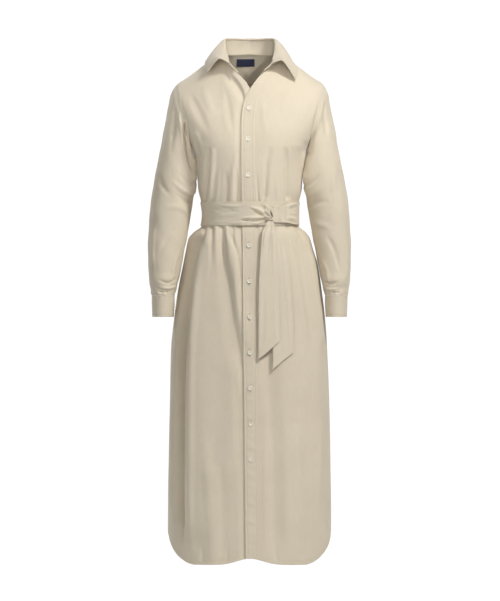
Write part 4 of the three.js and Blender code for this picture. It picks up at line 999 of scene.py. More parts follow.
    def sheet_point(self, turn: Array, row: Array) -> Array:
        """A point between the chest and the shoulder line."""
        front = np.abs(turn) <= 1
        side = np.where(front, np.abs(turn), 2 - np.abs(turn))
        centre, edge = np.where(front, 2.6, 2.8), np.where(front, 1.7, 1.8)
        arm_depth = np.where(front, 72.0, 76.0)
        base = self.ring_point(turn, np.full(np.shape(turn), self.chest_z))
        climb = (1 - row) * math.pi / 2
        power = 2 / lerp(centre, edge, side)
        share = np.maximum(np.sin(climb), 0) ** power
        spread = 109.0 * self.shoulder_half / self.chest_half
        top_x = self.rounded(turn, self.shoulder_half, spread, 0.0)[..., 0]
        inside = np.minimum(1, np.abs(top_x) / self.neck_half)
        top_z = self.ridge(np.abs(top_x)) + np.where(front, 8.0, 25.0) * (1 - inside * inside)
        arm = np.clip((side - 0.35) / 0.65, 0, 1) ** 1.4
        reach = arm * arm_depth * np.sqrt(np.maximum(0, 1 - (1 - 2 * share) ** 2))
        lean = np.maximum(0, np.cos(climb)) ** power
        y = self.ridge_y + (base[..., 1] - self.ridge_y) * lean + np.where(front, -reach, reach)
        return stack(lerp(base[..., 0], top_x, share), y, lerp(self.chest_z, top_z, share))

    def hem_level(self, turn: Array, x: Array) -> Array:
        """The level of the hem, which rises to the side seams."""
        side = np.where(np.abs(turn) <= 1, np.abs(turn), 2 - np.abs(turn))
        start = 50 / 90
        corner = np.maximum(0, (side - start) / (1 - start))
        return self.hem_z + 16 * np.exp(-((x / 45) ** 2)) + 100 * corner**1.8

    def fold_height(self, face: Face, x: Array, z: Array) -> Array:
        """Height of the large folds."""
        height = np.zeros(np.shape(x))
        for curve, fold in zip(self.fold_curves, self.folds):
            if fold[0] != face.value:
                continue
            rise, left, right, fade = fold[7:]
            high, low = max(fold[2], fold[6]), min(fold[2], fold[6])
            top = smooth(high, high - self.fold_top_fade, z)
            foot = smooth(low - fade, low, z)
            height += rise * top * foot * bell(x - curve(z), left, right)
        return height

    def settled(self, turn: Array, row: Array) -> tuple[Array, Array]:
        """Brings a turn and row that ran over an edge back onto the surface."""
        turn, row = np.broadcast_arrays(np.asarray(turn, float), np.asarray(row, float))
        turn = np.where(row < 0, np.where(turn < 0, -2.0, 2.0) - turn, turn)
        turn = np.where(turn > 2, turn - 4, np.where(turn < -2, turn + 4, turn))
        return turn, np.abs(row)

    def plain(self, turn: Array, row: Array) -> Array:
        """The surface with its large folds.

        Args:
            turn: Where round the body.
            row: Where down it.

        Returns:
            The points.
        """
        turn, row = self.settled(turn, row)
        foot = self.hem_level(turn, self.ring_point(turn, np.full(np.shape(turn), self.hem_z))[..., 0])
        level = np.where(
            row <= 2,
            lerp(self.chest_z, self.belt_foot_z, row - 1),
            lerp(self.belt_foot_z, foot, row - 2),
        )
        sheet = self.sheet_point(turn, np.clip(row, 0, 1))
        point = np.where((row < 1)[..., None], sheet, self.ring_point(turn, level))
        front = np.abs(turn) <= 1
        side = np.where(front, np.abs(turn), 2 - np.abs(turn))
        angle = turn * math.pi / 2
        out = stack(np.sin(angle), -np.cos(angle), 0.0)
        x, z = point[..., 0].copy(), point[..., 2]
        fold = np.where(front, self.fold_height(Face.FRONT, x, z), self.fold_height(Face.BACK, x, z))
        point = point + out * (fold * smooth(1, 0.9, side))[..., None]
        across = ((np.abs(point[..., 0]) - 80) / 45) ** 2
        along = ((z + 195) / 60) ** 2
        bust = np.where(front, smooth(1, 0.7, side) * 12 * np.exp(-(across + along) / 2), 0.0)
        above, below = np.exp(np.minimum(row - 1, 0) / 0.011), np.exp(-((np.maximum(row - 1, 0) / 0.075) ** 1.3))
        eased = self.chest_ease * above * below * smooth(0.35, 0.75, side) * smooth(1.0, 0.86, side)
        return point - stack(0.0, bust + np.where(front, eased, -0.8 * eased), 0.0)

    def normal(self, turn: Array, row: Array) -> Array:
        """The way the large form faces."""
        turn, row = np.broadcast_arrays(np.asarray(turn, float), np.asarray(row, float))
        step = 0.004
        low, high = turn - step, turn + step
        sheet = row < 1
        front = np.abs(turn) <= 1
        low = np.where(sheet & front, np.maximum(low, -1), np.where(sheet & (turn > 1), np.maximum(low, 1 + 1e-6), low))
        high = np.where(sheet & front, np.minimum(high, 1), np.where(sheet & (turn > 1), np.minimum(high, 3 - 1e-6), high))
        across = self.plain(high, row) - self.plain(low, row)
        down = self.plain(turn, np.minimum(3, row + step)) - self.plain(turn, row - step)
        return unit(np.cross(down, across))

    def fine(self, turn: Array, row: Array, point: Array) -> Array:
        """Height of the listed creases and of the soft drape between them."""
        turn, row = self.settled(turn, row)
        front = np.abs(turn) <= 1
        side = np.where(front, np.abs(turn), 2 - np.abs(turn))
        x, z = point[..., 0], point[..., 2]
        height = self.gain * np.where(front, creased(self.front_creases, x, z), creased(self.back_creases, x, z))
        angle = turn * math.pi / 2
        drape = np.sin(angle * 9 + z * 0.004 + 0.6) * 0.7 + np.sin(angle * 17 - z * 0.006 + 2.1) * 0.4
        slack = np.sin(z * 0.045 + angle * 5) * 0.25 * smooth(-430, -500, z)
        height = height + smooth(-430, -620, z) * drape + slack
        height = height * smooth(1, 0.93, side)
        return height * smooth(0.0, 0.09, row)

    def vertices(self, turn: Array, row: Array) -> Cloth:
        """The creased surface.

        Args:
            turn: Where round the body.
            row: Where down it.

        Returns:
            The cloth.
        """
        turn, row = np.broadcast_arrays(np.asarray(turn, float), np.asarray(row, float))
        points, normals = self.plain(turn, row), self.normal(turn, row)
        return Cloth(points, normals).lifted(self.fine(turn, row, points))

    def row_at(self, z: Array | float) -> Array:
        """The row of a level below the chest."""
        z = np.asarray(z, float)
        upper = 1 + (self.chest_z - z) / (self.chest_z - self.belt_foot_z)
        lower = 2 + (self.belt_foot_z - z) / (self.belt_foot_z - self.hem_z)
        return np.where(z >= self.belt_foot_z, upper, lower)

    def spot(self, x: Array, z: Array) -> Cloth:
        """The smooth ring of the front at a place seen from the front."""
        x, z = np.broadcast_arrays(np.asarray(x, float), np.asarray(z, float))
        turn = root_of(lambda t: self.ring_point(t, z)[..., 0] - x, np.full(x.shape, -0.95), np.full(x.shape, 0.95))
        points = self.ring_point(turn, z)
        side = np.where(x >= 0, self.rings["right"](z), self.rings["left"](z))
        angle = turn * math.pi / 2
        return Cloth(points, unit(stack(np.sin(angle) / side, -np.cos(angle) / self.rings["front"](z), 0.0)))

    def slit_turn(self, row: Array) -> Array:
        """The turn of a side seam, which opens below the hips."""
        gap = SmoothCurve((-1300, -1150, -1080, -1000, -880), (14, 10, 6, 3, 0.01))
        z = self.plain(np.ones(np.shape(row)), row)[..., 2]
        return np.where(row > 2, 1 - gap(z) / 275, 1.0)


def trimmed(points: Array, normals: Array, toward: Array, amount: float = 0.02) -> Array:
    """Takes a little off an edge, square to the cloth, so that seams don't touch.

    Args:
        points: The edge's points.
        normals: Its normals.
        toward: A vector that points off the cloth.
        amount: How much comes off.

    Returns:
        The new points.
    """
    along = np.gradient(points, axis=0)
    across = unit(np.cross(along, normals))
    sign = np.where((across * toward).sum(axis=-1, keepdims=True) > 0, -1.0, 1.0)
    return points + across * sign * amount


def armhole_normal(points: Array, sign: float, body: Body) -> Array:
    """Normals of an armhole's seam, which faces away from the middle of the opening."""
    top = np.array([sign * body.shoulder_half, body.ridge_y, -58.0])
    foot = np.array([sign * body.chest_half, 0.0, body.chest_z])
    axis = unit(top - foot)
    off = points - (top + foot) / 2
    return unit(axis * (off @ axis)[..., None] + stack(0.0, off[..., 1], 0.0))


def fine_steps(end: float, fine: Sequence[float], step: float, tail: Sequence[float] = ()) -> Array:
    """Positions from 0 to end, close together near both ends.

    Args:
        end: The last position.
        fine: Close positions at the start.
        step: The usual step.
        tail: Close distances before the end.

    Returns:
        The positions.
    """
    last = [end - t for t in tail]
    low, high = fine[-1], min(last) if last else end
    count = max(2, int(round((high - low) / step)))
    middle = np.linspace(low, high, count + 1)
    return np.unique(np.round(np.concatenate([fine, middle, last, [end]]), 6))


EDGE_STEPS = (0.0, 0.3, 0.7, 1.2, 1.8, 2.6, 3.6, 4.4, 5.2, 6.0, 7.0, 8.5, 10.5)
SEAM_STEPS = (0.0, 0.8, 1.8, 3.0, 4.6, 6.0, 7.4, 9.5)


def pucker(along: Array, away: Array, depth: float, phase: float = 0.0, reach: float = 9.0) -> Array:
    """Small uneven puckers beside a stitched edge.

    Args:
        along: Distance along the edge.
        away: Distance from it.
        depth: Their height.
        phase: Shifts them.
        reach: How far in they go.

    Returns:
        The heights.
    """
    wave = np.sin(along * 0.52 + phase) + 0.7 * np.sin(along * 0.31 + 1.9 * phase) * np.sin(along * 0.043 + phase)
    wave = wave + 0.5 * np.sin(along * 0.93 + 0.7 + phase)
    return depth * wave * np.exp(-((away - 0.35 * reach) / (0.55 * reach)) ** 2)


def groove(away: Array, line: float, depth: float = 0.3, width: float = 0.9) -> Array:
    """The dip that a row of stitches pulls in."""
    return -depth * np.exp(-(((away - line) / width) ** 2))


@dataclass
class Panels:
    """The fronts, the placket, the back and the yoke."""

    room: Workroom
    body: Body
    placket_width: float = 32.5
    stitch_in: float = 5.0
    lap_top: float = -74.0
    lap_ease: float = 20.0
    edge_under: SmoothCurve = field(
        default_factory=lambda: SmoothCurve(
            (12, 0, -19, -37, -53.5, -67, -74, -95, -120, -150, -1300),
            (75, 68, 52, 30, 13.5, 4, 0, -8, -14, -15, -15),
        )
    )
    edge_over: SmoothCurve = field(
        default_factory=lambda: SmoothCurve(
            (12, 0, -18, -30, -55, -74, -95, -119, -162, -350, -430, -650, -850, -1150, -1300),
            (75, 67, 53, 35, 14, 1, -10, -18, -22, -21, -19, -17.5, -15, -12, -10),
        )
    )

    def rows(self) -> Array:
        """Grid rows of a front, from the shoulder to the hem."""
        sheet = np.linspace(0, 1, 54)
        sheet = np.unique(np.concatenate([sheet, [0.005, 0.012, 0.03]]))
        waist = self.body.row_at(np.linspace(-219, -418, 50))
        length = self.body.belt_foot_z - self.body.hem_z
        down = fine_steps(length, (0.0,), 4.4, (1.0, 2.2, 3.6, 5.2, 6.6, 8.0, 9.2, 10.6, 12.5))
        return np.unique(np.concatenate([sheet, waist, 2 + down[1:] / length]))

    def edge_turn(self, edge: SmoothCurve, sign: float, row: Array, offset: Array) -> Array:
        """Turns of the lines at some distance inside a front edge."""
        row, offset = np.broadcast_arrays(row, offset)

        def gap(turn: Array) -> Array:
            """How far past the line a turn is."""
            point = self.body.plain(sign * turn, row)
            return sign * point[..., 0] - edge(point[..., 2]) - offset

        return root_of(gap, np.full(row.shape, -0.4), np.full(row.shape, 1.0))

    def front(self, edge: SmoothCurve, sign: float) -> tuple[Cloth, Array, Array]:
        """The grid of a front.

        Args:
            edge: Its front edge.
            sign: Its side.

        Returns:
            The cloth, its turns and its rows.
        """
        rows = self.rows()
        near = fine_steps(self.placket_width, EDGE_STEPS, 3.0, (0.3, 0.7, 1.2, 1.8, 2.6, 3.6, 4.4, 5.2, 6.0, 7.0))
        strip = self.edge_turn(edge, sign, rows[:, None], near[None])
        end = self.body.slit_turn(rows)
        shares = fine_steps(1.0, (0.0, 0.006, 0.014), 1 / 58, tuple(s / 250 for s in SEAM_STEPS[1:]))
        rest = lerp(strip[:, -1:], end[:, None], shares[None, 1:])
        turns = np.concatenate([strip, rest], axis=1)
        cloth = self.body.vertices(sign * turns, rows[:, None])
        return cloth, turns, rows

    def sunk(self, cloth: Cloth) -> Cloth:
        """The under front, set back where the other lies over it."""
        x, z = cloth.points[..., 0], cloth.points[..., 2]
        over = -self.edge_over(z)
        across = smooth(over + 18, over + 5, -x)
        down = smooth(self.lap_top + self.lap_ease, self.lap_top + 8, z)
        return cloth.lifted(-across * down * (CLOTH + LAP_GAP))

    def mitred(self, cloth: Cloth, sign: float, chest: int, side: Side) -> Cloth:
        """Turns the normals of an armhole's edge to those of the seam."""
        away = cloth.away(side)[: chest + 1]
        edge = cloth.points[: chest + 1, -1 if side is Side.RIGHT else 0]
        seam = armhole_normal(edge, sign, self.body)[:, None]
        share = smooth(7.0, 0.0, away)[..., None]
        normals = cloth.normals.copy()
        normals[: chest + 1] = unit(lerp(normals[: chest + 1], np.broadcast_to(seam, normals[: chest + 1].shape), share))
        return Cloth(cloth.points, normals)

    def side_relief(self, cloth: Cloth, side: Side) -> Array:
        """Relief of a side seam and of the hem."""
        edge, foot = cloth.away(side), cloth.away(Side.FOOT)
        height = groove(foot, 9.0) + pucker(cloth.along(Side.FOOT), foot, 0.28, 1.3, 11.0)
        return height + groove(edge, 6.0, 0.2) - 0.5 * np.exp(-((edge / 1.0) ** 2))

    def build(self) -> "Armholes":
        """Builds the panels and their stitching.

        Returns:
            The edges that the sleeves and the collar are sewn to.
        """
        body, room = self.body, self.room
        cotton = room.finishes.cotton
        under, under_turns, rows = self.front(self.edge_under, -1)
        over, over_turns, _ = self.front(self.edge_over, 1)
        chest = int(np.argmin(np.abs(rows - 1)))
        under = self.mitred(self.sunk(under), -1, chest, Side.RIGHT)
        over = self.mitred(over, 1, chest, Side.RIGHT)
        ends = [int(np.argmin(np.abs(c.points[:, 0, 2] + 30))) for c in (under, over)]
        placket = self.placket(over, ends[1])
        necks, holes = [], []
        for cloth, sign, end in ((under, -1.0, ends[0]), (over, 1.0, ends[1])):
            necks.append((cloth.points[: end + 1, 0].copy(), cloth.normals[: end + 1, 0].copy()))
            holes.append((cloth.points[: chest + 1, -1].copy(), cloth.normals[: chest + 1, -1].copy()))
        pieces = []
        for cloth, sign, end in ((under, -1.0, ends[0]), (over, 1.0, ends[1])):
            lap = cloth.away(Side.LEFT)
            relief = self.side_relief(cloth, Side.RIGHT)
            if sign < 0:
                relief = relief + groove(lap, 28.0, 0.25) + pucker(cloth.along(Side.LEFT), lap, 0.2, 0.4)
            cloth = cloth.lifted(relief)
            points, normals = cloth.points, cloth.normals
            points[0] = trimmed(points[0], normals[0], np.array([0, 1.0, 0]))
            points[: chest + 1, -1] = trimmed(points[: chest + 1, -1], normals[: chest + 1, -1], np.array([sign, 0, 0]))
            points[chest:, -1] = trimmed(points[chest:, -1], normals[chest:, -1], np.array([0, 1.0, 0]))
            neck = points[: end + 1, 0]
            toward = stack(-neck[:, 0], -neck[:, 1], 40.0)
            points[: end + 1, 0] = trimmed(neck, normals[: end + 1, 0], toward)
            pieces.append(cloth)
        for cloth, name in zip(pieces, ("front_right", "front_left")):
            room.cloth_piece(
                f"{name}_cloth", name, cloth, CLOTH, cotton, "cotton_twill", "hung", ["collar_stand"],
                (Side.FOOT, Side.LEFT), 1.04,
            )
        room.cloth_piece(
            "placket_cloth", "placket", placket, STRIP, cotton, "cotton_twill", "hung", ["front_left"],
            (Side.FOOT, Side.LEFT, Side.RIGHT, Side.TOP),
        )
        self.buttonholes(over)
        return self.back(under_turns, over_turns, rows, chest, pieces, placket, necks, holes)

    def placket(self, front: Cloth, first: int) -> Cloth:
        """The doubled strip down the edge of the over front."""
        near = int(np.argmin(np.abs(front.away(Side.LEFT)[60] - self.placket_width)))
        strip = Cloth(front.points[first:, : near + 1].copy(), front.normals[first:, : near + 1].copy())
        away, other = strip.away(Side.LEFT), strip.away(Side.RIGHT)
        along = strip.along(Side.LEFT)
        across = np.minimum(away, other)
        height = groove(across, self.stitch_in, 0.5, 1.1) + pucker(along, across, 0.22, 0.9, 8.0)
        level = strip.points[..., 2]
        slack = smooth(-760, -1010, level) * smooth(-1240, -1190, level) + 0.25
        ripple = np.sin(along * 0.27) + 0.8 * np.sin(along * 0.171 + 1.0) + 0.5 * np.sin(along * 0.41 + 2.0)
        height = height + slack * 0.42 * ripple * smooth(self.stitch_in, 11, across)
        strip = strip.lifted(SEAM_GAP + STRIP + 0.35 + np.maximum(height, -0.5))
        strip.points[:, 0] += unit(strip.points[:, 1] - strip.points[:, 0]) * 0.25
        strip.points[:, -1] += unit(strip.points[:, -2] - strip.points[:, -1]) * 0.25
        strip.points[0, :, 2] -= SEAM_GAP
        return strip

    def button_spot(self, z: float) -> tuple[Array, Array]:
        """The point and normal of the placket's middle at a level."""
        row = root_of(lambda r: z - self.body.plain(np.zeros(()), r)[..., 2], np.array(0.0), np.array(3.0))
        for _ in range(4):
            turn = self.edge_turn(self.edge_over, 1.0, row, np.array(self.placket_width / 2))
            row = root_of(lambda r: z - self.body.plain(turn, r)[..., 2], np.array(0.0), np.array(3.0))
        turn = self.edge_turn(self.edge_over, 1.0, row, np.array(self.placket_width / 2))
        return self.body.plain(turn, row), self.body.normal(turn, row)

    def button_levels(self) -> list[float]:
        """The levels of the buttons down the front."""
        return [-123.5] + [-199 - 88.5 * i for i in range(10)]

    def buttonholes(self, over: Cloth) -> None:
        """Works a bar of close stitches round the slit under each button, and lays a dark quad of painted shade in each
        slit.
        """
        lines: list[tuple[Array, Array]] = []
        slits: list[Array] = []
        for z in self.button_levels():
            point, normal = self.button_spot(z)
            down = unit(np.cross(normal, np.array([1.0, 0, 0])))
            down = down if down[2] < 0 else -down
            side = unit(np.cross(down, normal))
            base = point + normal * (SEAM_GAP + STRIP + 0.5)
            for offset in (-0.9, 0.9):
                for step in np.linspace(-8.2, 8.2, 30):
                    middle = base + side * offset + down * step
                    line = np.stack([middle - side * 0.75, middle, middle + side * 0.75])
                    lines.append((line, np.repeat(normal[None], 3, axis=0)))
            for end in (-8.6, 8.6):
                for step in np.linspace(-1.5, 1.5, 5):
                    middle = base + down * (end + 0.12 * step) + side * step
                    line = np.stack([middle - down * 0.8, middle, middle + down * 0.8])
                    lines.append((line, np.repeat(normal[None], 3, axis=0)))
            # A dark quad in each slit is painted shade where the cut opens.
            corners = [(-0.28, -7.8), (0.28, -7.8), (0.28, 7.8), (-0.28, 7.8)]
            slits.append(np.stack([base - normal * 0.12 + side * a + down * b for a, b in corners]))
        made = self.room.stitches("buttonhole_stitching", lines, self.room.finishes.thread, 1.4, 0.72, 0.24, 0.05)
        slit = self.room.mesh(
            "buttonhole_slits_painted_shade", np.concatenate(slits), np.arange(len(slits) * 4).reshape(-1, 4), self.room.finishes.shade
        )

    def yoke_seam(self, turn: Array) -> Array:
        """The row of the yoke's seam."""
        side = 2 - np.abs(np.where(turn > 2, 4 - turn, turn))
        return 1 - (0.35 + 0.2 * side * side)

    def neck_row(self, turn: Array) -> Array:
        """The row of the neckline, or 0 out on the shoulders."""
        body = self.body
        turn = np.asarray(turn, float)
        top_x = np.abs(body.sheet_point(np.where(turn > 2, turn - 4, turn), np.zeros(turn.shape))[..., 0])

        def gap(row: Array) -> Array:
            """How far behind the neckline a point is."""
            point = body.plain(turn, row)
            share = np.minimum(1, np.abs(point[..., 0]) / body.neck_half)
            return point[..., 1] - (body.ridge_y + body.neck_depth * np.sqrt(1 - share * share))

        found = root_of(gap, np.zeros(turn.shape), np.full(turn.shape, 0.9))
        return np.where(top_x >= body.neck_half - 1e-6, 0.0, found)

    def back(
        self,
        under_turns: Array,
        over_turns: Array,
        rows: Array,
        chest: int,
        fronts: list[Cloth],
        placket: Cloth,
        necks: list[tuple[Array, Array]],
        holes: list[tuple[Array, Array]],
    ) -> "Armholes":
        """Builds the yoke and the back, and sews the topstitching.

        Args:
            under_turns: Turns of the under front.
            over_turns: Turns of the over front.
            rows: Rows of the fronts.
            chest: Index of the chest's row.
            fronts: The two fronts.
            placket: The placket.
            necks: The fronts' neck edges.
            holes: The fronts' armhole edges.

        Returns:
            The edges that the sleeves and the collar are sewn to.
        """
        body, room = self.body, self.room
        neck_x = np.array([74.2, 72.5, 70, 66.5, 62, 57, 51, 45, 38, 31, 24, 16, 8, 0.0])

        def neck_gap(side: Array) -> Array:
            """How far outside a neck point lies."""
            turn = 2 - side
            return body.plain(turn, self.neck_row(turn))[..., 0] - neck_x

        neck_turns = root_of(neck_gap, np.zeros(neck_x.shape), np.full(neck_x.shape, 0.5))
        neck_turns[-1] = 0.0
        right = np.concatenate([2 - over_turns[0][::-1], 2 - neck_turns])
        left = np.concatenate([2 + neck_turns[:-1][::-1], 2 + under_turns[0]])
        turns = np.clip(np.concatenate([right, left]), 1 + 1e-7, 3 - 1e-7)
        shoulder = over_turns.shape[1]
        shares = fine_steps(1.0, (0.0, 0.012, 0.03, 0.055, 0.085), 0.045, (0.01, 0.025, 0.05, 0.08))
        seam, neck = self.yoke_seam(turns), self.neck_row(turns)
        yoke = body.vertices(turns[None], lerp(seam[None], neck[None], shares[:, None]))
        last = len(turns) - 1
        keep = [i for i in range(last + 1) if i % 2 == 0 or i < 10 or i > last - 10]
        slim = turns[keep]
        under = np.array([1.05, 1.03, 1.012])
        sheet_shares = fine_steps(1.0, (0.0,), 0.034, (0.003, 0.006, 0.01, 0.016, 0.024, 0.035, 0.05))[::-1][:-1]
        sheet_shares = np.concatenate([under, sheet_shares])
        sheet = body.vertices(slim[None], lerp(1.0, self.yoke_seam(slim)[None], sheet_shares[:, None]))
        low_rows = rows[chest:]
        slits = body.slit_turn(low_rows)
        lower = body.vertices(2 + (slim[None] - 2) * slits[:, None], low_rows[:, None])
        back = Cloth(np.concatenate([sheet.points, lower.points]), np.concatenate([sheet.normals, lower.normals]))
        back_chest = len(sheet_shares)
        yoke = self.mitred(self.mitred(yoke, 1, len(shares) - 1, Side.LEFT), -1, len(shares) - 1, Side.RIGHT)
        back = self.mitred(self.mitred(back, 1, back_chest, Side.LEFT), -1, back_chest, Side.RIGHT)
        rings = {}
        for name, column, front in (("left", 0, 1), ("right", -1, 0)):
            fp, fn = holes[front]
            yp, yn = yoke.points[::-1, column][1:-1], yoke.normals[::-1, column][1:-1]
            seam_rows = slice(len(under), back_chest)
            bp, bn = back.points[seam_rows, column], back.normals[seam_rows, column]
            rings[name] = (np.concatenate([fp[::-1], yp, bp]), np.concatenate([fn[::-1], yn, bn]))
        neckline = (
            np.concatenate([necks[0][0][::-1], yoke.points[-1, shoulder - 1 : last - shoulder + 2][::-1][1:-1], necks[1][0]]),
            np.concatenate([necks[0][1][::-1], yoke.normals[-1, shoulder - 1 : last - shoulder + 2][::-1][1:-1], necks[1][1]]),
        )
        yoke = self.finish_yoke(yoke, shoulder, last)
        laid = np.zeros(back.points.shape[:2])
        laid[:back_chest] = (-2.1 * smooth(0.982, 1.0, sheet_shares))[:, None]
        back = self.finish_back(back.lifted(laid), back_chest, len(under))
        cotton = room.finishes.cotton
        room.cloth_piece("yoke_cloth", "yoke", yoke, CLOTH, cotton, "cotton_twill", "hung", ["collar_stand"], (), 1.02)
        room.cloth_piece(
            "back_cloth", "back", back, CLOTH, cotton, "cotton_twill", "hung", ["yoke"], (Side.FOOT,), 1.06,
        )
        self.topstitch(fronts, placket, yoke, back, chest)
        return Armholes(rings, neckline)

    def finish_yoke(self, yoke: Cloth, shoulder: int, last: int) -> Cloth:
        """Sets the relief of the yoke's seams and trims its edges."""
        foot = yoke.away(Side.TOP)
        relief = groove(foot, 1.6, 0.25) + groove(foot, 6.5, 0.25) + pucker(yoke.along(Side.TOP), foot, 0.14, 2.2)
        relief = relief + groove(yoke.away(Side.FOOT), 2.0, 0.2)
        yoke = yoke.lifted(relief * smooth(0.0, 4.0, np.minimum(yoke.away(Side.LEFT), yoke.away(Side.RIGHT))))
        p, n = yoke.points, yoke.normals
        p[:, 0] = trimmed(p[:, 0], n[:, 0], np.array([1.0, 0, 0]))
        p[:, -1] = trimmed(p[:, -1], n[:, -1], np.array([-1.0, 0, 0]))
        p[0] = trimmed(p[0], n[0], np.array([0, 0, -1.0]))
        p[-1, :shoulder] = trimmed(p[-1, :shoulder], n[-1, :shoulder], np.array([0, -1.0, 0]))
        p[-1, last - shoulder + 1 :] = trimmed(p[-1, last - shoulder + 1 :], n[-1, last - shoulder + 1 :], np.array([0, -1.0, 0]))
        neck = p[-1, shoulder : last - shoulder + 1]
        toward = stack(-neck[:, 0], -neck[:, 1], 40.0)
        p[-1, shoulder : last - shoulder + 1] = trimmed(neck, n[-1, shoulder : last - shoulder + 1], toward)
        return yoke

    def finish_back(self, back: Cloth, chest: int, first: int) -> Cloth:
        """Sets the relief of the back's seams and trims its edges."""
        foot = back.away(Side.FOOT)
        edge = np.minimum(back.away(Side.LEFT), back.away(Side.RIGHT))
        relief = groove(foot, 9.0) + pucker(back.along(Side.FOOT), foot, 0.28, 0.2, 11.0)
        relief = relief + groove(edge, 6.0, 0.2) - 0.5 * np.exp(-((edge / 1.0) ** 2))
        back = back.lifted(relief)
        p, n = back.points, back.normals
        for column, sign in ((0, -1.0), (-1, 1.0)):
            p[:first, column] += unit(p[:first, 3 if column == 0 else -4] - p[:first, column]) * 1.5
        for column, sign in ((0, 1.0), (-1, -1.0)):
            p[: chest + 1, column] = trimmed(p[: chest + 1, column], n[: chest + 1, column], np.array([sign, 0, 0]))
            p[chest:, column] = trimmed(p[chest:, column], n[chest:, column], np.array([0, -1.0, 0]))
        return back

    def topstitch(self, fronts: list[Cloth], placket: Cloth, yoke: Cloth, back: Cloth, chest: int) -> None:
        """Sews the rows of stitches that show on the panels."""
        thread = self.room.finishes.thread
        lines: list[tuple[Array, Array]] = []
        lines += [placket.inset(Side.LEFT, self.stitch_in), placket.inset(Side.RIGHT, self.stitch_in)]
        for cloth in (*fronts, back):
            lines.append(cloth.inset(Side.FOOT, 9.0))
        for cloth in fronts:
            hole = cloth.rows_kept(slice(0, chest + 1))
            lines.append(hole.inset(Side.RIGHT, 6.0))
            side = cloth.rows_kept(slice(chest, None))
            lines.append(side.inset(Side.RIGHT, 6.0))
        lines += [yoke.inset(Side.TOP, 1.6), yoke.inset(Side.TOP, 6.5)]
        under = fronts[0].rows_kept(slice(chest // 2, None))
        lines.append(under.inset(Side.LEFT, 28.0))
        made = self.room.stitches("panel_topstitching", lines, thread)


@dataclass
class Armholes:
    """Edges of the panels that other pieces are sewn to.

    Attributes:
        rings: Points and normals round each armhole, from its foot up the front and down the back.
        neckline: Points and normals from the under front's edge round the back to the over front's.
    """

    rings: dict[str, tuple[Array, Array]]
    neckline: tuple[Array, Array]


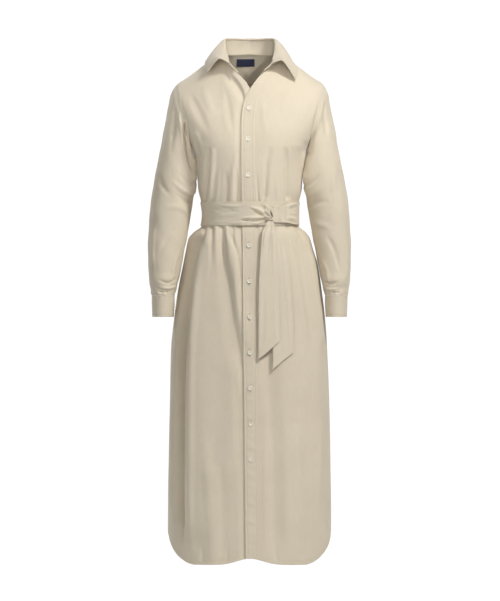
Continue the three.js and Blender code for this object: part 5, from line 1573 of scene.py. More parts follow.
@dataclass
class Sleeve:
    """A sleeve with its cuff and the cuff's button."""

    room: Workroom
    name: str
    sign: float
    rows: tuple[tuple[float, ...], ...]
    creases: tuple[Crease, ...]
    lap: float = 30.0
    lap_start: float = 300.0
    cuff_top: float = -588.9
    cuff_foot: float = -642.0
    button_degrees: float = 318.0
    section: float = 48.0
    press: SmoothCurve = field(default_factory=lambda: SmoothCurve((0.6, 1, 2, 3, 4, 4.6, 5.3), (0, 1.6, 4.0, 6.0, 7.0, 5.5, 0)))
    folds: tuple[tuple[float, ...], ...] = (
        (2.2, 62, -4, 1.3, 20), (4.8, 150, 3, 0.5, 55), (5.6, 140, -3, 0.5, 60), (6.5, 60, 3, 0.8, 40),
        (9.6, 100, 3, 0.5, 70), (10.3, 60, -2.5, 0.4, 70), (5.2, 215, -3, 0.6, 50), (9.8, 250, 3, 0.5, 60),
    )

    def __post_init__(self) -> None:
        """Makes the curves of the sections."""
        self.table = curves("at outer_x outer_z inner_x inner_z front back y", self.rows)

    def plain(self, at: Array, angle: Array) -> Array:
        """A point of the sleeve with its large folds, on the +X side."""
        at, angle = np.broadcast_arrays(at, angle)
        t = self.table
        outer = stack(t["outer_x"](at), 0.0, t["outer_z"](at))
        inner = stack(t["inner_x"](at), 0.0, t["inner_z"](at))
        sine = np.sin(angle)
        point = lerp(outer, inner, ((1 - np.cos(angle)) / 2)[..., None])
        point[..., 1] = t["y"](at) - sine * np.where(sine > 0, t["front"](at), t["back"](at))
        out = unit(point - (outer + inner) / 2)
        degrees = np.degrees(angle) % 360
        for where, centre, rise, along, round_ in self.folds:
            off = np.abs((degrees - centre + 540) % 360 - 180)
            point = point + out * (rise * bell(at - where, along, along) * bell(off, round_, round_))[..., None]
        return point

    def normal(self, at: Array, angle: Array) -> Array:
        """The way the sleeve faces, on the +X side."""
        step = 0.02
        along = self.plain(np.minimum(11, at + step), angle) - self.plain(np.maximum(0, at - step), angle)
        around = self.plain(at, angle + step) - self.plain(at, angle - step)
        return -unit(np.cross(along, around))

    def build(self, ring: tuple[Array, Array]) -> None:
        """Builds the sleeve, the cuff and the button.

        Args:
            ring: Points and normals of the armhole.
        """
        points, normals = ring
        flip = np.array([self.sign, 1.0, 1.0])
        points, normals = points * flip, normals * flip
        top = int(points[:, 2].argmax())
        top_z, foot_z = self.table["outer_z"](0.0), self.table["inner_z"](0.0)
        share = np.clip((points[:, 2] - foot_z) / (top_z - foot_z), 0, 1)
        angle = np.arccos(np.clip(2 * share - 1, -1, 1))
        angle = np.where(np.arange(len(angle)) <= top, angle, -angle)
        at = fine_steps(11.0, (0.0, 0.012, 0.03, 0.06, 0.1, 0.15), 0.075, (0.015, 0.04, 0.07, 0.11, 0.15))
        at, angles = at[:, None], angle[None]
        grid = self.plain(at, angles)
        shape = self.normal(at, angles)
        start = points - grid[0]
        grid = grid + start[None] * smooth(0.9, 0.0, at)[..., None]
        share = smooth(0.0, 0.14, at)[..., None]
        shape = unit(lerp(np.broadcast_to(normals[None], shape.shape), shape, share))
        u, v = np.broadcast_arrays(np.degrees(angles), -at * self.section)
        height = creased(self.creases, u, v) + creased(self.creases, u - 360, v) + creased(self.creases, u + 360, v)
        height = height + 0.35 * np.sin(v * 0.11 + np.radians(u) * 2) * np.sin(np.radians(u) * 3 + v * 0.03)
        height = 1.5 * height * smooth(0.05, 0.5, at) * smooth(11.0, 10.9, at)
        height = height + self.press(at) * bell((u % 360) - 152, 50.0, 42.0)
        gathers = np.sin(np.radians(u) * 13 + 1.2 * np.sin(np.radians(u) * 3)) * np.exp(-(((at - 10.75) / 0.28) ** 2))
        cloth = Cloth(grid, shape, True).lifted(height + gathers * 0.9 * smooth(11.0, 10.93, at))
        cloth = cloth.lifted(-0.45 * np.exp(-((at * self.section / 1.2) ** 2)) * np.ones(u.shape))
        wrapped = np.concatenate([cloth.points[0, -1:], cloth.points[0], cloth.points[0, :1]])
        turned = np.concatenate([shape[0, -1:], shape[0], shape[0, :1]])
        cloth.points[0] = trimmed(wrapped, turned, np.array([-1.0, 0, 0]))[1:-1]
        cloth = Cloth(cloth.points * flip, cloth.normals * flip, True)
        finishes = self.room.finishes
        self.room.cloth_piece(
            f"sleeve_{self.name}_cloth", f"sleeve_{self.name}", cloth, CLOTH, finishes.cotton, "cotton_twill",
            "hung", [f"front_{self.name}", "yoke", "back"], (), 1.03,
        )
        self.cuff()

    def cuff_point(self, degrees: Array, z: Array) -> Array:
        """A point of the cuff's outer face, on the +X side."""
        t = self.table
        down = (self.cuff_top - z) / (self.cuff_top - self.cuff_foot)
        outer = t["outer_x"](11.0) - 1.5 * down
        inner = t["inner_x"](11.0) + 1.2 * down
        angle = np.radians(degrees)
        sine = np.sin(angle)
        grow = smooth(360 - self.lap, 360, degrees - self.lap_start) * (DOUBLED + LAP_GAP + 0.4)
        depth = np.where(sine > 0, t["front"](11.0), t["back"](11.0)) + grow
        x = (outer + inner) / 2 + ((outer - inner) / 2 + grow) * np.cos(angle)
        return stack(x, t["y"](11.0) - 3 * down - depth * sine, z)

    def cuff(self) -> None:
        """Builds the cuff, its stitching and its button."""
        height = self.cuff_top - self.cuff_foot
        levels = self.cuff_top - fine_steps(height, EDGE_STEPS, 2.6, (0.3, 0.7, 1.2, 1.8, 2.6, 3.6, 4.6, 5.6, 6.6, 8))
        turned = fine_steps(360 + self.lap, (0.0, 0.5, 1.2, 2, 3.5, 5.5, 8), 2.2, (0.5, 1.2, 2, 3.5, 5.5, 8, 10.5))
        degrees = self.lap_start + turned
        points = self.cuff_point(degrees[None], levels[:, None])
        t = self.table
        middle = np.array([(t["outer_x"](11.0) + t["inner_x"](11.0)) / 2, t["y"](11.0), 0.0])
        cloth = facing(points, lambda p: (p - middle) * np.array([1.0, 1.0, 0.0]))
        flip = np.array([self.sign, 1.0, 1.0])
        top, foot = cloth.away(Side.TOP), cloth.away(Side.FOOT)
        edge = np.minimum(cloth.away(Side.LEFT), cloth.away(Side.RIGHT))
        relief = groove(top, 2.0, 0.2) + groove(foot, 6.0) + groove(edge, 5.0, 0.2)
        along = cloth.along(Side.TOP)
        relief = relief + pucker(along, foot, 0.16, 0.3) + pucker(along, top, 0.2, 1.7)
        relief = relief + 0.5 * np.sin(along * 0.05 + 0.8) * np.sin(top * 0.08) * smooth(0, 12, top)
        cloth = Cloth(cloth.points * flip, cloth.normals * flip).lifted(relief)
        finishes = self.room.finishes
        made = self.room.cloth_piece(
            f"cuff_{self.name}_cloth", f"cuff_{self.name}", cloth, DOUBLED, finishes.cotton, "cotton_twill",
            "hung", [f"sleeve_{self.name}"], (Side.FOOT, Side.LEFT, Side.RIGHT),
        )
        lines = [cloth.inset(Side.TOP, 2.0), cloth.inset(Side.FOOT, 6.0), cloth.inset(Side.RIGHT, 5.0)]
        sewn = self.room.stitches(f"cuff_{self.name}_stitching", lines, finishes.thread)
        z = (self.cuff_top + self.cuff_foot) / 2
        place = self.cuff_point(np.array(self.button_degrees + 360.0), np.array(z))
        ahead = self.cuff_point(np.array(self.button_degrees + 361.0), np.array(z)) - place
        normal = unit(np.array([ahead[1], -ahead[0], 0.0]))
        if (normal * (place - middle))[:2].sum() < 0:
            normal = -normal
        Button(self.room, f"cuff_button_{self.name}").build(place * flip, normal * flip, 0.7)


@dataclass
class Button:
    """A four-hole button with its thread."""

    room: Workroom
    name: str
    radius: float = 5.7
    depth: float = 2.4
    hole: float = 0.62
    hole_at: float = 1.15

    def build(self, place: Array, normal: Array, lift: float) -> None:
        """Builds the button and its thread.

        Args:
            place: The point of the cloth under it.
            normal: The way the cloth faces.
            lift: How far its back is above that point.
        """
        side = unit(np.cross(np.array([0, 0, 1.0]), normal))
        up = unit(np.cross(normal, side))
        base = place + normal * lift
        room = self.room
        points, faces = self.disc()
        world = base + points[:, :1] * side + points[:, 1:2] * up + points[:, 2:] * normal
        if np.dot(np.cross(side, up), normal) < 0:
            faces = [tuple(reversed(f)) for f in faces]
        made = room.mesh(f"{self.name}_shell", world, faces, room.finishes.shell)
        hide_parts(self.name)
        lines = []
        top = self.depth - 0.55
        for shift in (-0.18, 0.18):
            for a, b in (((-1, -1), (1, 1)), ((-1, 1), (1, -1))):
                start = np.array([a[0], a[1]]) * self.hole_at + np.array([shift, -shift * a[1]])
                end = np.array([b[0], b[1]]) * self.hole_at + np.array([shift, -shift * a[1]])
                ends = [base + p[0] * side + p[1] * up + normal * (top + 0.1) for p in (start, end)]
                reach = np.linalg.norm(ends[1] - ends[0])
                along = (ends[1] - ends[0]) / reach
                line = np.stack([ends[0] - along * 0.5, (ends[0] + ends[1]) / 2, ends[1] + along * 0.5])
                lines.append((line, np.repeat(normal[None], 3, axis=0)))
        length = 2 * math.sqrt(2) * self.hole_at
        sewn = room.stitches(f"{self.name}_thread", lines, room.finishes.thread, length, length * 0.62, 0.3, 0.12)

    def disc(self) -> tuple[Array, list[tuple[int, ...]]]:
        """The shell, a dished disc with four dark wells.

        Returns:
            The points, across, up and out, and the faces.
        """
        rings = (
            (0.0, 0.0), (4.9, 0.0), (5.4, 0.2), (5.66, 0.6), (5.7, 1.2), (5.62, 1.8), (5.35, 2.2), (4.9, 2.4),
            (4.4, 2.36), (3.95, 2.1), (3.6, 1.86), (3.1, 1.78), (2.4, 1.76),
        )
        count = 40
        points: list[tuple[float, float, float]] = [(0.0, 0.0, 0.0)]
        faces: list[tuple[int, ...]] = []
        for r, h in rings[1:]:
            for k in range(count):
                a = 2 * math.pi * k / count
                points.append((r * math.cos(a), r * math.sin(a), h))
        for k in range(count):
            faces.append((0, 1 + (k + 1) % count, 1 + k))
        for ring in range(len(rings) - 2):
            low, high = 1 + ring * count, 1 + (ring + 1) * count
            for k in range(count):
                n = (k + 1) % count
                faces.append((low + k, low + n, high + n, high + k))
        edge = 1 + (len(rings) - 2) * count
        floor = len(points)
        grid = np.linspace(-1.7, 1.7, 9)
        for y in grid:
            for x in grid:
                deep = 0.0
                for sx in (-1, 1):
                    for sy in (-1, 1):
                        gap = math.hypot(x - sx * self.hole_at, y - sy * self.hole_at)
                        deep = max(deep, float(smooth(self.hole * 1.25, self.hole * 0.5, np.array(gap))))
                points.append((float(x), float(y), 1.76 - 1.1 * deep))
        size = len(grid)
        for r in range(size - 1):
            for c in range(size - 1):
                a = floor + r * size + c
                faces.append((a, a + 1, a + size + 1, a + size))
        border = [floor + c for c in range(size)]
        border += [floor + r * size + size - 1 for r in range(1, size)]
        border += [floor + (size - 1) * size + c for c in range(size - 2, -1, -1)]
        border += [floor + r * size for r in range(size - 2, 0, -1)]
        start = int(round(count * (math.atan2(-1, -1) % (2 * math.pi)) / (2 * math.pi)))
        outer = [edge + (start + k) % count for k in range(count)]
        i = j = 0
        while i < count or j < len(border):
            a, b = outer[i % count], border[j % len(border)]
            if j >= len(border) or (i < count and i / count <= j / len(border)):
                faces.append((a, outer[(i + 1) % count], b))
                i += 1
            else:
                faces.append((a, border[(j + 1) % len(border)], b))
                j += 1
        return np.asarray(points), faces


@dataclass
class Collar:
    """The collar's stand and fall, and the neck label."""

    room: Workroom
    body: Body
    bulge: float = 2.0
    fall_start: float = 0.16
    fall_lift: float = 8.0
    fall_gap: float = 0.7
    corner_pull: float = 3.5
    stand_left: tuple[Row, ...] = (
        (0, -30, -104, -35), (0.16, -50, -92, -13), (0.3, -58, -66, 4), (0.42, -63, -34, 22),
        (0.54, -66, -6, 39), (0.68, -63, 20, 50), (0.84, -38, 47, 51), (1, 0, 57, 50),
    )
    stand_right: tuple[Row, ...] = (
        (0, 35, -104, -30), (0.16, 53, -92, -13.5), (0.3, 61, -66, 3), (0.42, 66, -34, 20),
        (0.54, 67, -6, 38), (0.68, 63, 20, 50), (0.84, 38, 47, 51), (1, 0, 57, 50),
    )
    fall_left: tuple[Row, ...] = (
        (0.16, -72, -102, 2.5, -80, -100, 3.5, -106.5, -77, -32), (0.3, -64, -70, 14, -86, -73, 19, -112, -52, -20),
        (0.42, -66, -35, 30, -88, -38, 30, -113, -30, -10), (0.54, -68, -5, 46, -88, -6, 38, -112, -8, -5),
        (0.68, -65, 22, 56, -84, 28, 44, -106, 20, -2), (0.84, -40, 52, 60, -55, 68, 50, -70, 66, -2),
        (1, 0, 58, 60, 0, 80, 52, 0, 84, -3),
    )
    fall_right: tuple[Row, ...] = (
        (0.16, 76, -102, 1, 86, -100, -3.5, 116, -75, -52), (0.3, 68, -70, 14, 90, -71, 14, 118, -50, -34),
        (0.42, 70, -36, 28, 91, -38, 26, 115, -30, -17), (0.54, 69, -5, 45, 87, -6, 36, 110, -8, -6),
        (0.68, 65, 22, 56, 83, 28, 44, 104, 20, -2), (0.84, 40, 52, 60, 55, 68, 50, 70, 66, -2),
        (1, 0, 58, 60, 0, 80, 52, 0, 84, -3),
    )

    def halves(self, share: Array, left: tuple[Row, ...], right: tuple[Row, ...], names: str) -> dict[str, Array]:
        """Values of two tables, one for each half of the neck."""
        a, b = curves(names, left), curves(names, right)
        at = np.where(share < 0.5, share * 2, (1 - share) * 2)
        return {k: np.where(share < 0.5, a[k](at), b[k](at)) for k in a}

    def build(self, neckline: tuple[Array, Array]) -> None:
        """Builds the stand, the fall, their stitching and the label.

        Args:
            neckline: Points and normals of the neck edge.
        """
        points, normals = neckline
        steps = np.linalg.norm(np.diff(points, axis=0), axis=1)
        shares = np.concatenate([[0.0], np.cumsum(steps)]) / steps.sum()
        even = np.unique(np.concatenate([np.linspace(0, 1, 150), shares[[0, -1]], [0.002, 0.006, 0.994, 0.998]]))
        points = np.stack([np.interp(even, shares, points[:, i]) for i in range(3)], axis=-1)
        normals = unit(np.stack([np.interp(even, shares, normals[:, i]) for i in range(3)], axis=-1))
        top = self.halves(even, self.stand_left, self.stand_right, "at x y z")
        top_points = stack(top["x"], top["y"], top["z"])
        rows = fine_steps(1.0, (0.0, 0.03, 0.07, 0.12), 0.06, (0.03, 0.07, 0.12))
        grid = lerp(points[None], top_points[None], rows[:, None, None])
        out = unit(grid * np.array([1.0, 1.0, 0.0]) + np.array([0, 10.0, 0]))
        grid = grid + out * (self.bulge * np.sin(rows * math.pi))[:, None, None]
        stand = facing(grid, lambda p: p * np.array([1.0, 1.0, 0.0]) + np.array([0, 10.0, 0]))
        share = smooth(0.0, 0.22, rows)[:, None, None]
        stand.normals[:] = unit(lerp(np.broadcast_to(normals[None], grid.shape), stand.normals, share))
        toward = -stack(-points[:, 0], -points[:, 1], 40.0)
        stand.points[0] = trimmed(points, normals, toward)
        fall = self.fall(stand, even)
        relief = groove(stand.away(Side.TOP), 2.0, 0.15) + groove(stand.away(Side.FOOT), 2.5, 0.15)
        stand = stand.lifted(relief)
        finishes = self.room.finishes
        self.room.cloth_piece(
            "collar_stand_cloth", "collar_stand", stand, DOUBLED, finishes.cotton, "cotton_twill", "draped",
            ["yoke"], (Side.LEFT, Side.RIGHT),
        )
        edge = np.minimum(np.minimum(fall.away(Side.LEFT), fall.away(Side.RIGHT)), fall.away(Side.FOOT))
        along = fall.along(Side.FOOT) + fall.along(Side.LEFT)
        relief = groove(edge, 5.5, 0.25) + pucker(along, edge, 0.1, 0.5)
        fall = fall.lifted(relief * smooth(0, 6, fall.away(Side.TOP)))
        self.room.cloth_piece(
            "collar_fall_cloth", "collar_fall", fall, DOUBLED, finishes.cotton, "cotton_twill", "draped",
            ["collar_stand"], (Side.FOOT, Side.LEFT, Side.RIGHT),
        )
        inner = Cloth(stand.points - stand.normals * DOUBLED, -stand.normals)
        lines = [stand.inset(Side.TOP, 2.0), stand.inset(Side.FOOT, 2.5), inner.inset(Side.TOP, 2.0)]
        lines += [inner.inset(Side.FOOT, 2.5), fall.inset(Side.FOOT, 5.5)]
        lines += [fall.inset(Side.LEFT, 5.5), fall.inset(Side.RIGHT, 5.5)]
        sewn = self.room.stitches("collar_stitching", lines, finishes.thread)
        self.label()

    def fall(self, stand: Cloth, shares: Array) -> Cloth:
        """The part of the collar that turns over."""
        first = self.fall_start / 2
        span = 1 - 2 * first
        local = fine_steps(1.0, (0.0, 0.0008, 0.002, 0.004, 0.008, 0.012, 0.015, 0.019), 0.0072,
                           (0.0008, 0.002, 0.004, 0.008, 0.012, 0.015, 0.019))
        at = first + span * local
        top, below = stand.points[-1], stand.points[-2]
        pick = lambda values: np.stack([np.interp(at, shares, values[:, i]) for i in range(3)], axis=-1)
        point, under = pick(top), pick(below)
        normal = unit(pick(stand.normals[-1]))
        up = unit(point - under)
        guide = self.halves(at, self.fall_left, self.fall_right, "at rx ry rz tx ty tz ex ey ez")
        start = point - normal * DOUBLED + up * self.fall_gap
        lifted = start + up * self.fall_lift
        rise = stack(guide["rx"], guide["ry"], guide["rz"])
        turn = stack(guide["tx"], guide["ty"], guide["tz"])
        edge = stack(guide["ex"], guide["ey"], guide["ez"])
        s = fine_steps(1.0, (0.0, 0.012, 0.03), 0.028, (0.003, 0.008, 0.015, 0.03, 0.05, 0.065))[:, None, None]
        rest = 1 - s
        pull = 1 + self.corner_pull * smooth(0.11, 0.0, np.minimum(local, 1 - local))[None, :, None]
        parts = (
            (start, rest**4), (lifted, 4 * s * rest**3), (rise, 6 * s**2 * rest**2 * pull),
            (turn, 4 * s**3 * rest * pull), (edge, s**4),
        )
        grid = sum(point * weight for point, weight in parts) / sum(weight for _, weight in parts)
        outward = np.array([0, 10.0, 60.0])
        cloth = facing(grid, lambda p: p * np.array([1.0, 1.0, 0.0]) + outward)
        share = smooth(0.0, 0.1, s)
        cloth.normals[:] = unit(lerp(np.broadcast_to(-normal[None], grid.shape), cloth.normals, share))
        wave = 0.9 * np.sin(at * 31 + 0.6)[None] * smooth(0.45, 1.0, s[..., 0])
        return cloth.lifted(wave)

    def label(self) -> None:
        """Sews the plain woven label inside the yoke."""
        z = np.linspace(6.5, -12.5, 13)[:, None]
        x = np.linspace(-34, 12, 29)[None]
        z, x = np.broadcast_arrays(z, x)
        body = self.body
        turn = np.full(z.shape, 2.0)
        for _ in range(5):
            row = root_of(lambda r: z - body.plain(turn, r)[..., 2], np.zeros(z.shape), np.full(z.shape, 0.9))
            turn = root_of(lambda t: x - body.plain(t, row)[..., 0], np.full(z.shape, 1.5), np.full(z.shape, 2.5))
        outer = Cloth(body.plain(turn, row), body.normal(turn, row))
        bow = 0.3 * np.sin(np.linspace(0, math.pi, 29))[None] * np.ones(z.shape)
        cloth = outer.lifted(-(CLOTH + 1.0) - bow)
        made = self.room.cloth_piece(
            "neck_label_woven", "neck_label", cloth, 0.8, self.room.finishes.label, "woven_label", "hung", ["yoke"],
            (Side.TOP, Side.FOOT, Side.LEFT, Side.RIGHT),
        )
        inner = Cloth(cloth.points - cloth.normals * 0.8, -cloth.normals)
        lines = [inner.inset(side, 1.3) for side in (Side.LEFT, Side.RIGHT)]
        sewn = self.room.stitches("neck_label_stitching", lines, self.room.finishes.label_thread, 1.6, 2.3, 0.22)


@dataclass
class Sash:
    """The sash with its knot, loop and tails."""

    room: Workroom
    body: Body
    gap: float = 0.8
    wall: float = 1.8
    tail_wall: float = 2.0
    top: float = -355.0
    foot: float = -415.0
    front_rows: tuple[Row, ...] = (
        (-404.4, 39, 51, 9.4), (-415, 34, 53, 12), (-430, 28, 57, 12), (-480, 25, 65, 10), (-560, 21, 71, 8.5),
        (-640, 20, 72, 8), (-700, 20, 72, 8),
    )
    back_rows: tuple[Row, ...] = (
        (-408, 44, 58, 3.4), (-417, 45, 60, 3.8), (-430, 47, 67, 3.4), (-450, 50, 80, 4), (-540, 53, 97, 4),
        (-640, 54, 104, 4), (-700, 55, 106, 4),
    )
    band_creases: tuple[Crease, ...] = (
        Crease(((-4, -366), (18, -373), (40, -387)), 5.0, 8, 6, 0.45, 0.02),
        Crease(((10, -377), (22, -386), (32, -394)), -6.5, 4.5, 4, 0.25, 0.2, 1.2),
        Crease(((-24, -396), (4, -396), (30, -394), (42, -391)), 5.0, 7, 7, 0.5, 0.02),
        Crease(((-26, -402), (-12, -402), (2, -398)), -4.5, 6, 5, 0.4, 0.5, 1.2),
        Crease(((-10, -407), (16, -405), (42, -394)), -2.6, 4, 4, 0.4, 0.1, 1.2),
        Crease(((-4, -411), (20, -410), (42, -399)), 2.6, 4, 4, 0.5, 0.05),
        Crease(((20, -362), (32, -370), (43, -383)), -3.6, 4, 4, 0.3, 0.1, 1.2),
        Crease(((34, -360), (41, -368), (45, -380)), 3.0, 5, 4, 0.3, 0.1),
        Crease(((-96, -372), (-60, -378), (-20, -380)), -2.4, 7, 8, 0.4, 0.5),
        Crease(((-108, -396), (-70, -398), (-30, -392)), -2.4, 7, 7, 0.4, 0.5),
        Crease(((-84, -362), (-46, -366), (-8, -364)), 1.8, 6, 6, 0.4, 0.4),
        Crease(((-60, -408), (-30, -409), (-4, -400)), 1.8, 6, 6, 0.4, 0.5),
    )
    loop_creases: tuple[Crease, ...] = (
        Crease(((79.5, -362), (79.5, -386), (78, -408)), -3.4, 3.0, 2.2, 0.1, 0.1, 1.1),
        Crease(((72, -362), (72, -386), (71, -406)), 2.6, 8, 4, 0.2, 0.2),
        Crease(((85, -366), (86, -386), (84, -404)), 3.2, 4, 8, 0.2, 0.2),
        Crease(((82, -369), (94, -364), (108, -359)), 2.4, 5, 4, 0.2, 0.1),
        Crease(((84, -377), (98, -371), (114, -368)), -1.8, 4, 4, 0.3, 0.3),
        Crease(((90, -402), (100, -405), (110, -409)), -3.2, 3.5, 3, 0.1, 0.3, 1.2),
        Crease(((86, -394), (98, -396), (112, -402)), 1.8, 5, 4, 0.3, 0.3),
        Crease(((84, -384), (98, -384), (114, -386)), 1.2, 5, 6, 0.4, 0.4),
    )
    back_creases: tuple[Crease, ...] = (
        Crease(((-90, -370), (-30, -376), (30, -372)), -1.4, 7, 8, 0.4, 0.4),
        Crease(((-50, -398), (20, -394), (84, -400)), -1.5, 8, 7, 0.4, 0.4),
        Crease(((40, -364), (74, -372), (100, -384)), 1.3, 7, 7, 0.4, 0.4),
    )

    def lift(self, x: Array, y: Array) -> Array:
        """How far the band lies off the body."""
        return np.where(y > 0, self.gap, self.gap + 5 * np.exp(-(((x + 4) / 30) ** 2)))

    def build(self) -> None:
        """Builds the band, knot, loop and tails with their stitching."""
        band = self.band()
        loop = self.loop()
        back = self.tail("back", self.back_rows, (-772.0, -729.0))
        front = self.tail("front", self.front_rows, (-747.0, -702.0))
        self.knot()
        lines = [band.inset(Side.TOP, 3.0), band.inset(Side.FOOT, 3.0)]
        for tail in (back, front):
            lines += [tail.inset(side, 3.0) for side in (Side.LEFT, Side.RIGHT, Side.FOOT)]
        lines += [loop.inset(Side.TOP, 3.0), loop.inset(Side.FOOT, 3.0)]
        sewn = self.room.stitches("sash_stitching", lines, self.room.finishes.thread, 2.5, 3.3, 0.28)

    def band(self) -> Cloth:
        """The band round the waist."""
        levels = self.top - fine_steps(60.0, (0, 0.3, 0.8, 1.5, 2.3, 3, 3.8, 5), 1.9, (0.3, 0.8, 1.5, 2.3, 3, 3.8, 5))
        turns = np.linspace(-2, 2, 301)[:-1]
        turn, z = np.broadcast_arrays(turns[None], levels[:, None])
        row = self.body.row_at(z)
        points, normals = self.body.plain(turn, row), self.body.normal(turn, row)
        x, y = points[..., 0], points[..., 1]
        cloth = Cloth(points, normals, True).lifted(self.lift(x, y) + self.wall)
        front = np.abs(turn) <= 1
        height = np.where(front, creased(self.band_creases, x, z), creased(self.back_creases, x, z))
        height = height + 0.3 * np.sin(turn * 21 + z * 0.05) + 0.25 * np.sin(turn * 13 - z * 0.11)
        edge = np.minimum(self.top - z, z - self.foot)
        height = height + groove(edge, 3.0, 0.25) + pucker(turn * 190, edge, 0.14, 0.4, 7.0)
        cloth = cloth.lifted(np.maximum(height, -self.gap * 0.6 - np.where(y > 0, 0, 5 * np.exp(-(((x + 4) / 30) ** 2)))))
        self.room.cloth_piece(
            "belt_band_cloth", "belt_band", cloth, self.wall, self.room.finishes.sash, "sash_twill", "gathered",
            ["front_left", "front_right", "back"], (Side.TOP, Side.FOOT), 1.05,
        )
        return cloth

    def loop(self) -> Cloth:
        """The end that turns back on itself beside the knot."""
        steps = np.linspace(0, 1, 30)
        bend = [(1.0 + 0.02 * math.sin(a), a / math.pi) for a in np.linspace(0, math.pi, 7)[1:-1]]
        path = [(s, 0.0) for s in steps] + bend + [(1 - s, 1.0) for s in steps]
        share = np.array([p[0] for p in path])
        layer = np.array([p[1] for p in path])
        down = fine_steps(1.0, (0, 0.006, 0.016, 0.03, 0.056, 0.08), 0.04, (0.006, 0.016, 0.03, 0.056, 0.08))
        x = lerp(53.0, 116.0, share)[None]
        high = lerp(-367.5, -358.5, smooth(0.40, 0.66, share)[None])
        low = lerp(-407.0, -411.5, smooth(0.45, 0.85, share)[None])
        z = lerp(high, low, down[:, None])
        base = self.body.spot(x + 0 * z, z)
        swell = 4 * np.sin(np.clip(share, 0, 1) ** 1.3 * math.pi)
        away = 1.1 + 0.7 + layer * (1.4 + 0.6 + swell)
        lift = self.lift(base.points[..., 0], base.points[..., 1]) + self.wall + away[None]
        middle = base.lifted(lift).points
        across = np.gradient(middle, axis=1)
        cloth = Cloth(middle, unit(np.cross(across, np.gradient(middle, axis=0))))
        height = creased(self.loop_creases, x + 0 * z, z) * smooth(0.5, 0.9, layer)[None]
        over = smooth(0.5, 0.9, layer)[None] > 0.5
        height = np.where(over, height, 0.0)
        edge = np.minimum(cloth.away(Side.TOP), cloth.away(Side.FOOT))
        cloth = cloth.lifted(0.7).lifted(height + groove(edge, 3.0, 0.25) * over)
        self.room.cloth_piece(
            "belt_loop_cloth", "belt_loop", cloth, 1.4, self.room.finishes.sash, "sash_twill", "folded",
            ["belt_band"], (Side.TOP, Side.FOOT),
        )
        return cloth

    def tail(self, name: str, rows: tuple[Row, ...], tips: tuple[float, float]) -> Cloth:
        """A hanging end, cut on a slant.

        Args:
            name: Front or back.
            rows: Levels with its left and right edge and how far it lies off the skirt.
            tips: Levels of its two corners.

        Returns:
            The outer face.
        """
        table = curves("z left right off", rows)
        top = rows[0][0]
        across = fine_steps(1.0, (0, 0.006, 0.015, 0.03, 0.045, 0.06, 0.08), 0.045, (0.006, 0.015, 0.03, 0.045, 0.06, 0.08))
        down = fine_steps(1.0, (0.0,), 0.0095, (0.0009, 0.0025, 0.005, 0.0085, 0.012, 0.016))
        tip = lerp(tips[0], tips[1], across)[None]
        z = top + down[:, None] * (tip - top)
        x = lerp(table["left"](z), table["right"](z), across[None])
        base = self.body.spot(x, z)
        folds = {
            "front": (
                Crease(((46, -406), (42, -440), (40, -520)), -3.0, 4, 5, 0.05, 0.7, 1.2),
                Crease(((42, -406), (34, -436), (30, -500)), 2.2, 4, 5, 0.05, 0.7),
                Crease(((50, -408), (52, -450), (56, -560)), 2.4, 5, 6, 0.05, 0.7),
                Crease(((60, -560), (58, -640), (62, -712)), 1.2, 9, 8, 0.4, 0.2),
                Crease(((30, -540), (32, -640), (28, -726)), -1.0, 7, 8, 0.4, 0.2),
            ),
            "back": (
                Crease(((66, -430), (74, -500), (82, -620)), -1.4, 6, 7, 0.2, 0.6),
                Crease(((84, -520), (92, -620), (96, -720)), 1.3, 8, 7, 0.4, 0.2),
                Crease(((74, -620), (76, -690), (74, -752)), -1.0, 7, 7, 0.4, 0.2),
            ),
        }[name]
        height = creased(folds, x, z) + 0.35 * np.sin(z * 0.022 + x * 0.09)
        cloth = base.lifted(table["off"](z) + self.tail_wall)
        cloth = facing(cloth.points, lambda p: np.array([0.0, -1.0, 0.0]) + 0 * p)
        edge = np.minimum(np.minimum(cloth.away(Side.LEFT), cloth.away(Side.RIGHT)), cloth.away(Side.FOOT))
        height = height + groove(edge, 3.0, 0.22) + pucker(cloth.along(Side.LEFT), edge, 0.12, 0.8, 7.0)
        cloth = cloth.lifted(np.maximum(height, -1.2))
        self.room.cloth_piece(
            f"belt_tail_{name}_cloth", f"belt_tail_{name}", cloth, self.tail_wall, self.room.finishes.sash,
            "sash_twill", "hung", ["belt_knot"], (Side.LEFT, Side.RIGHT, Side.FOOT),
        )
        return cloth

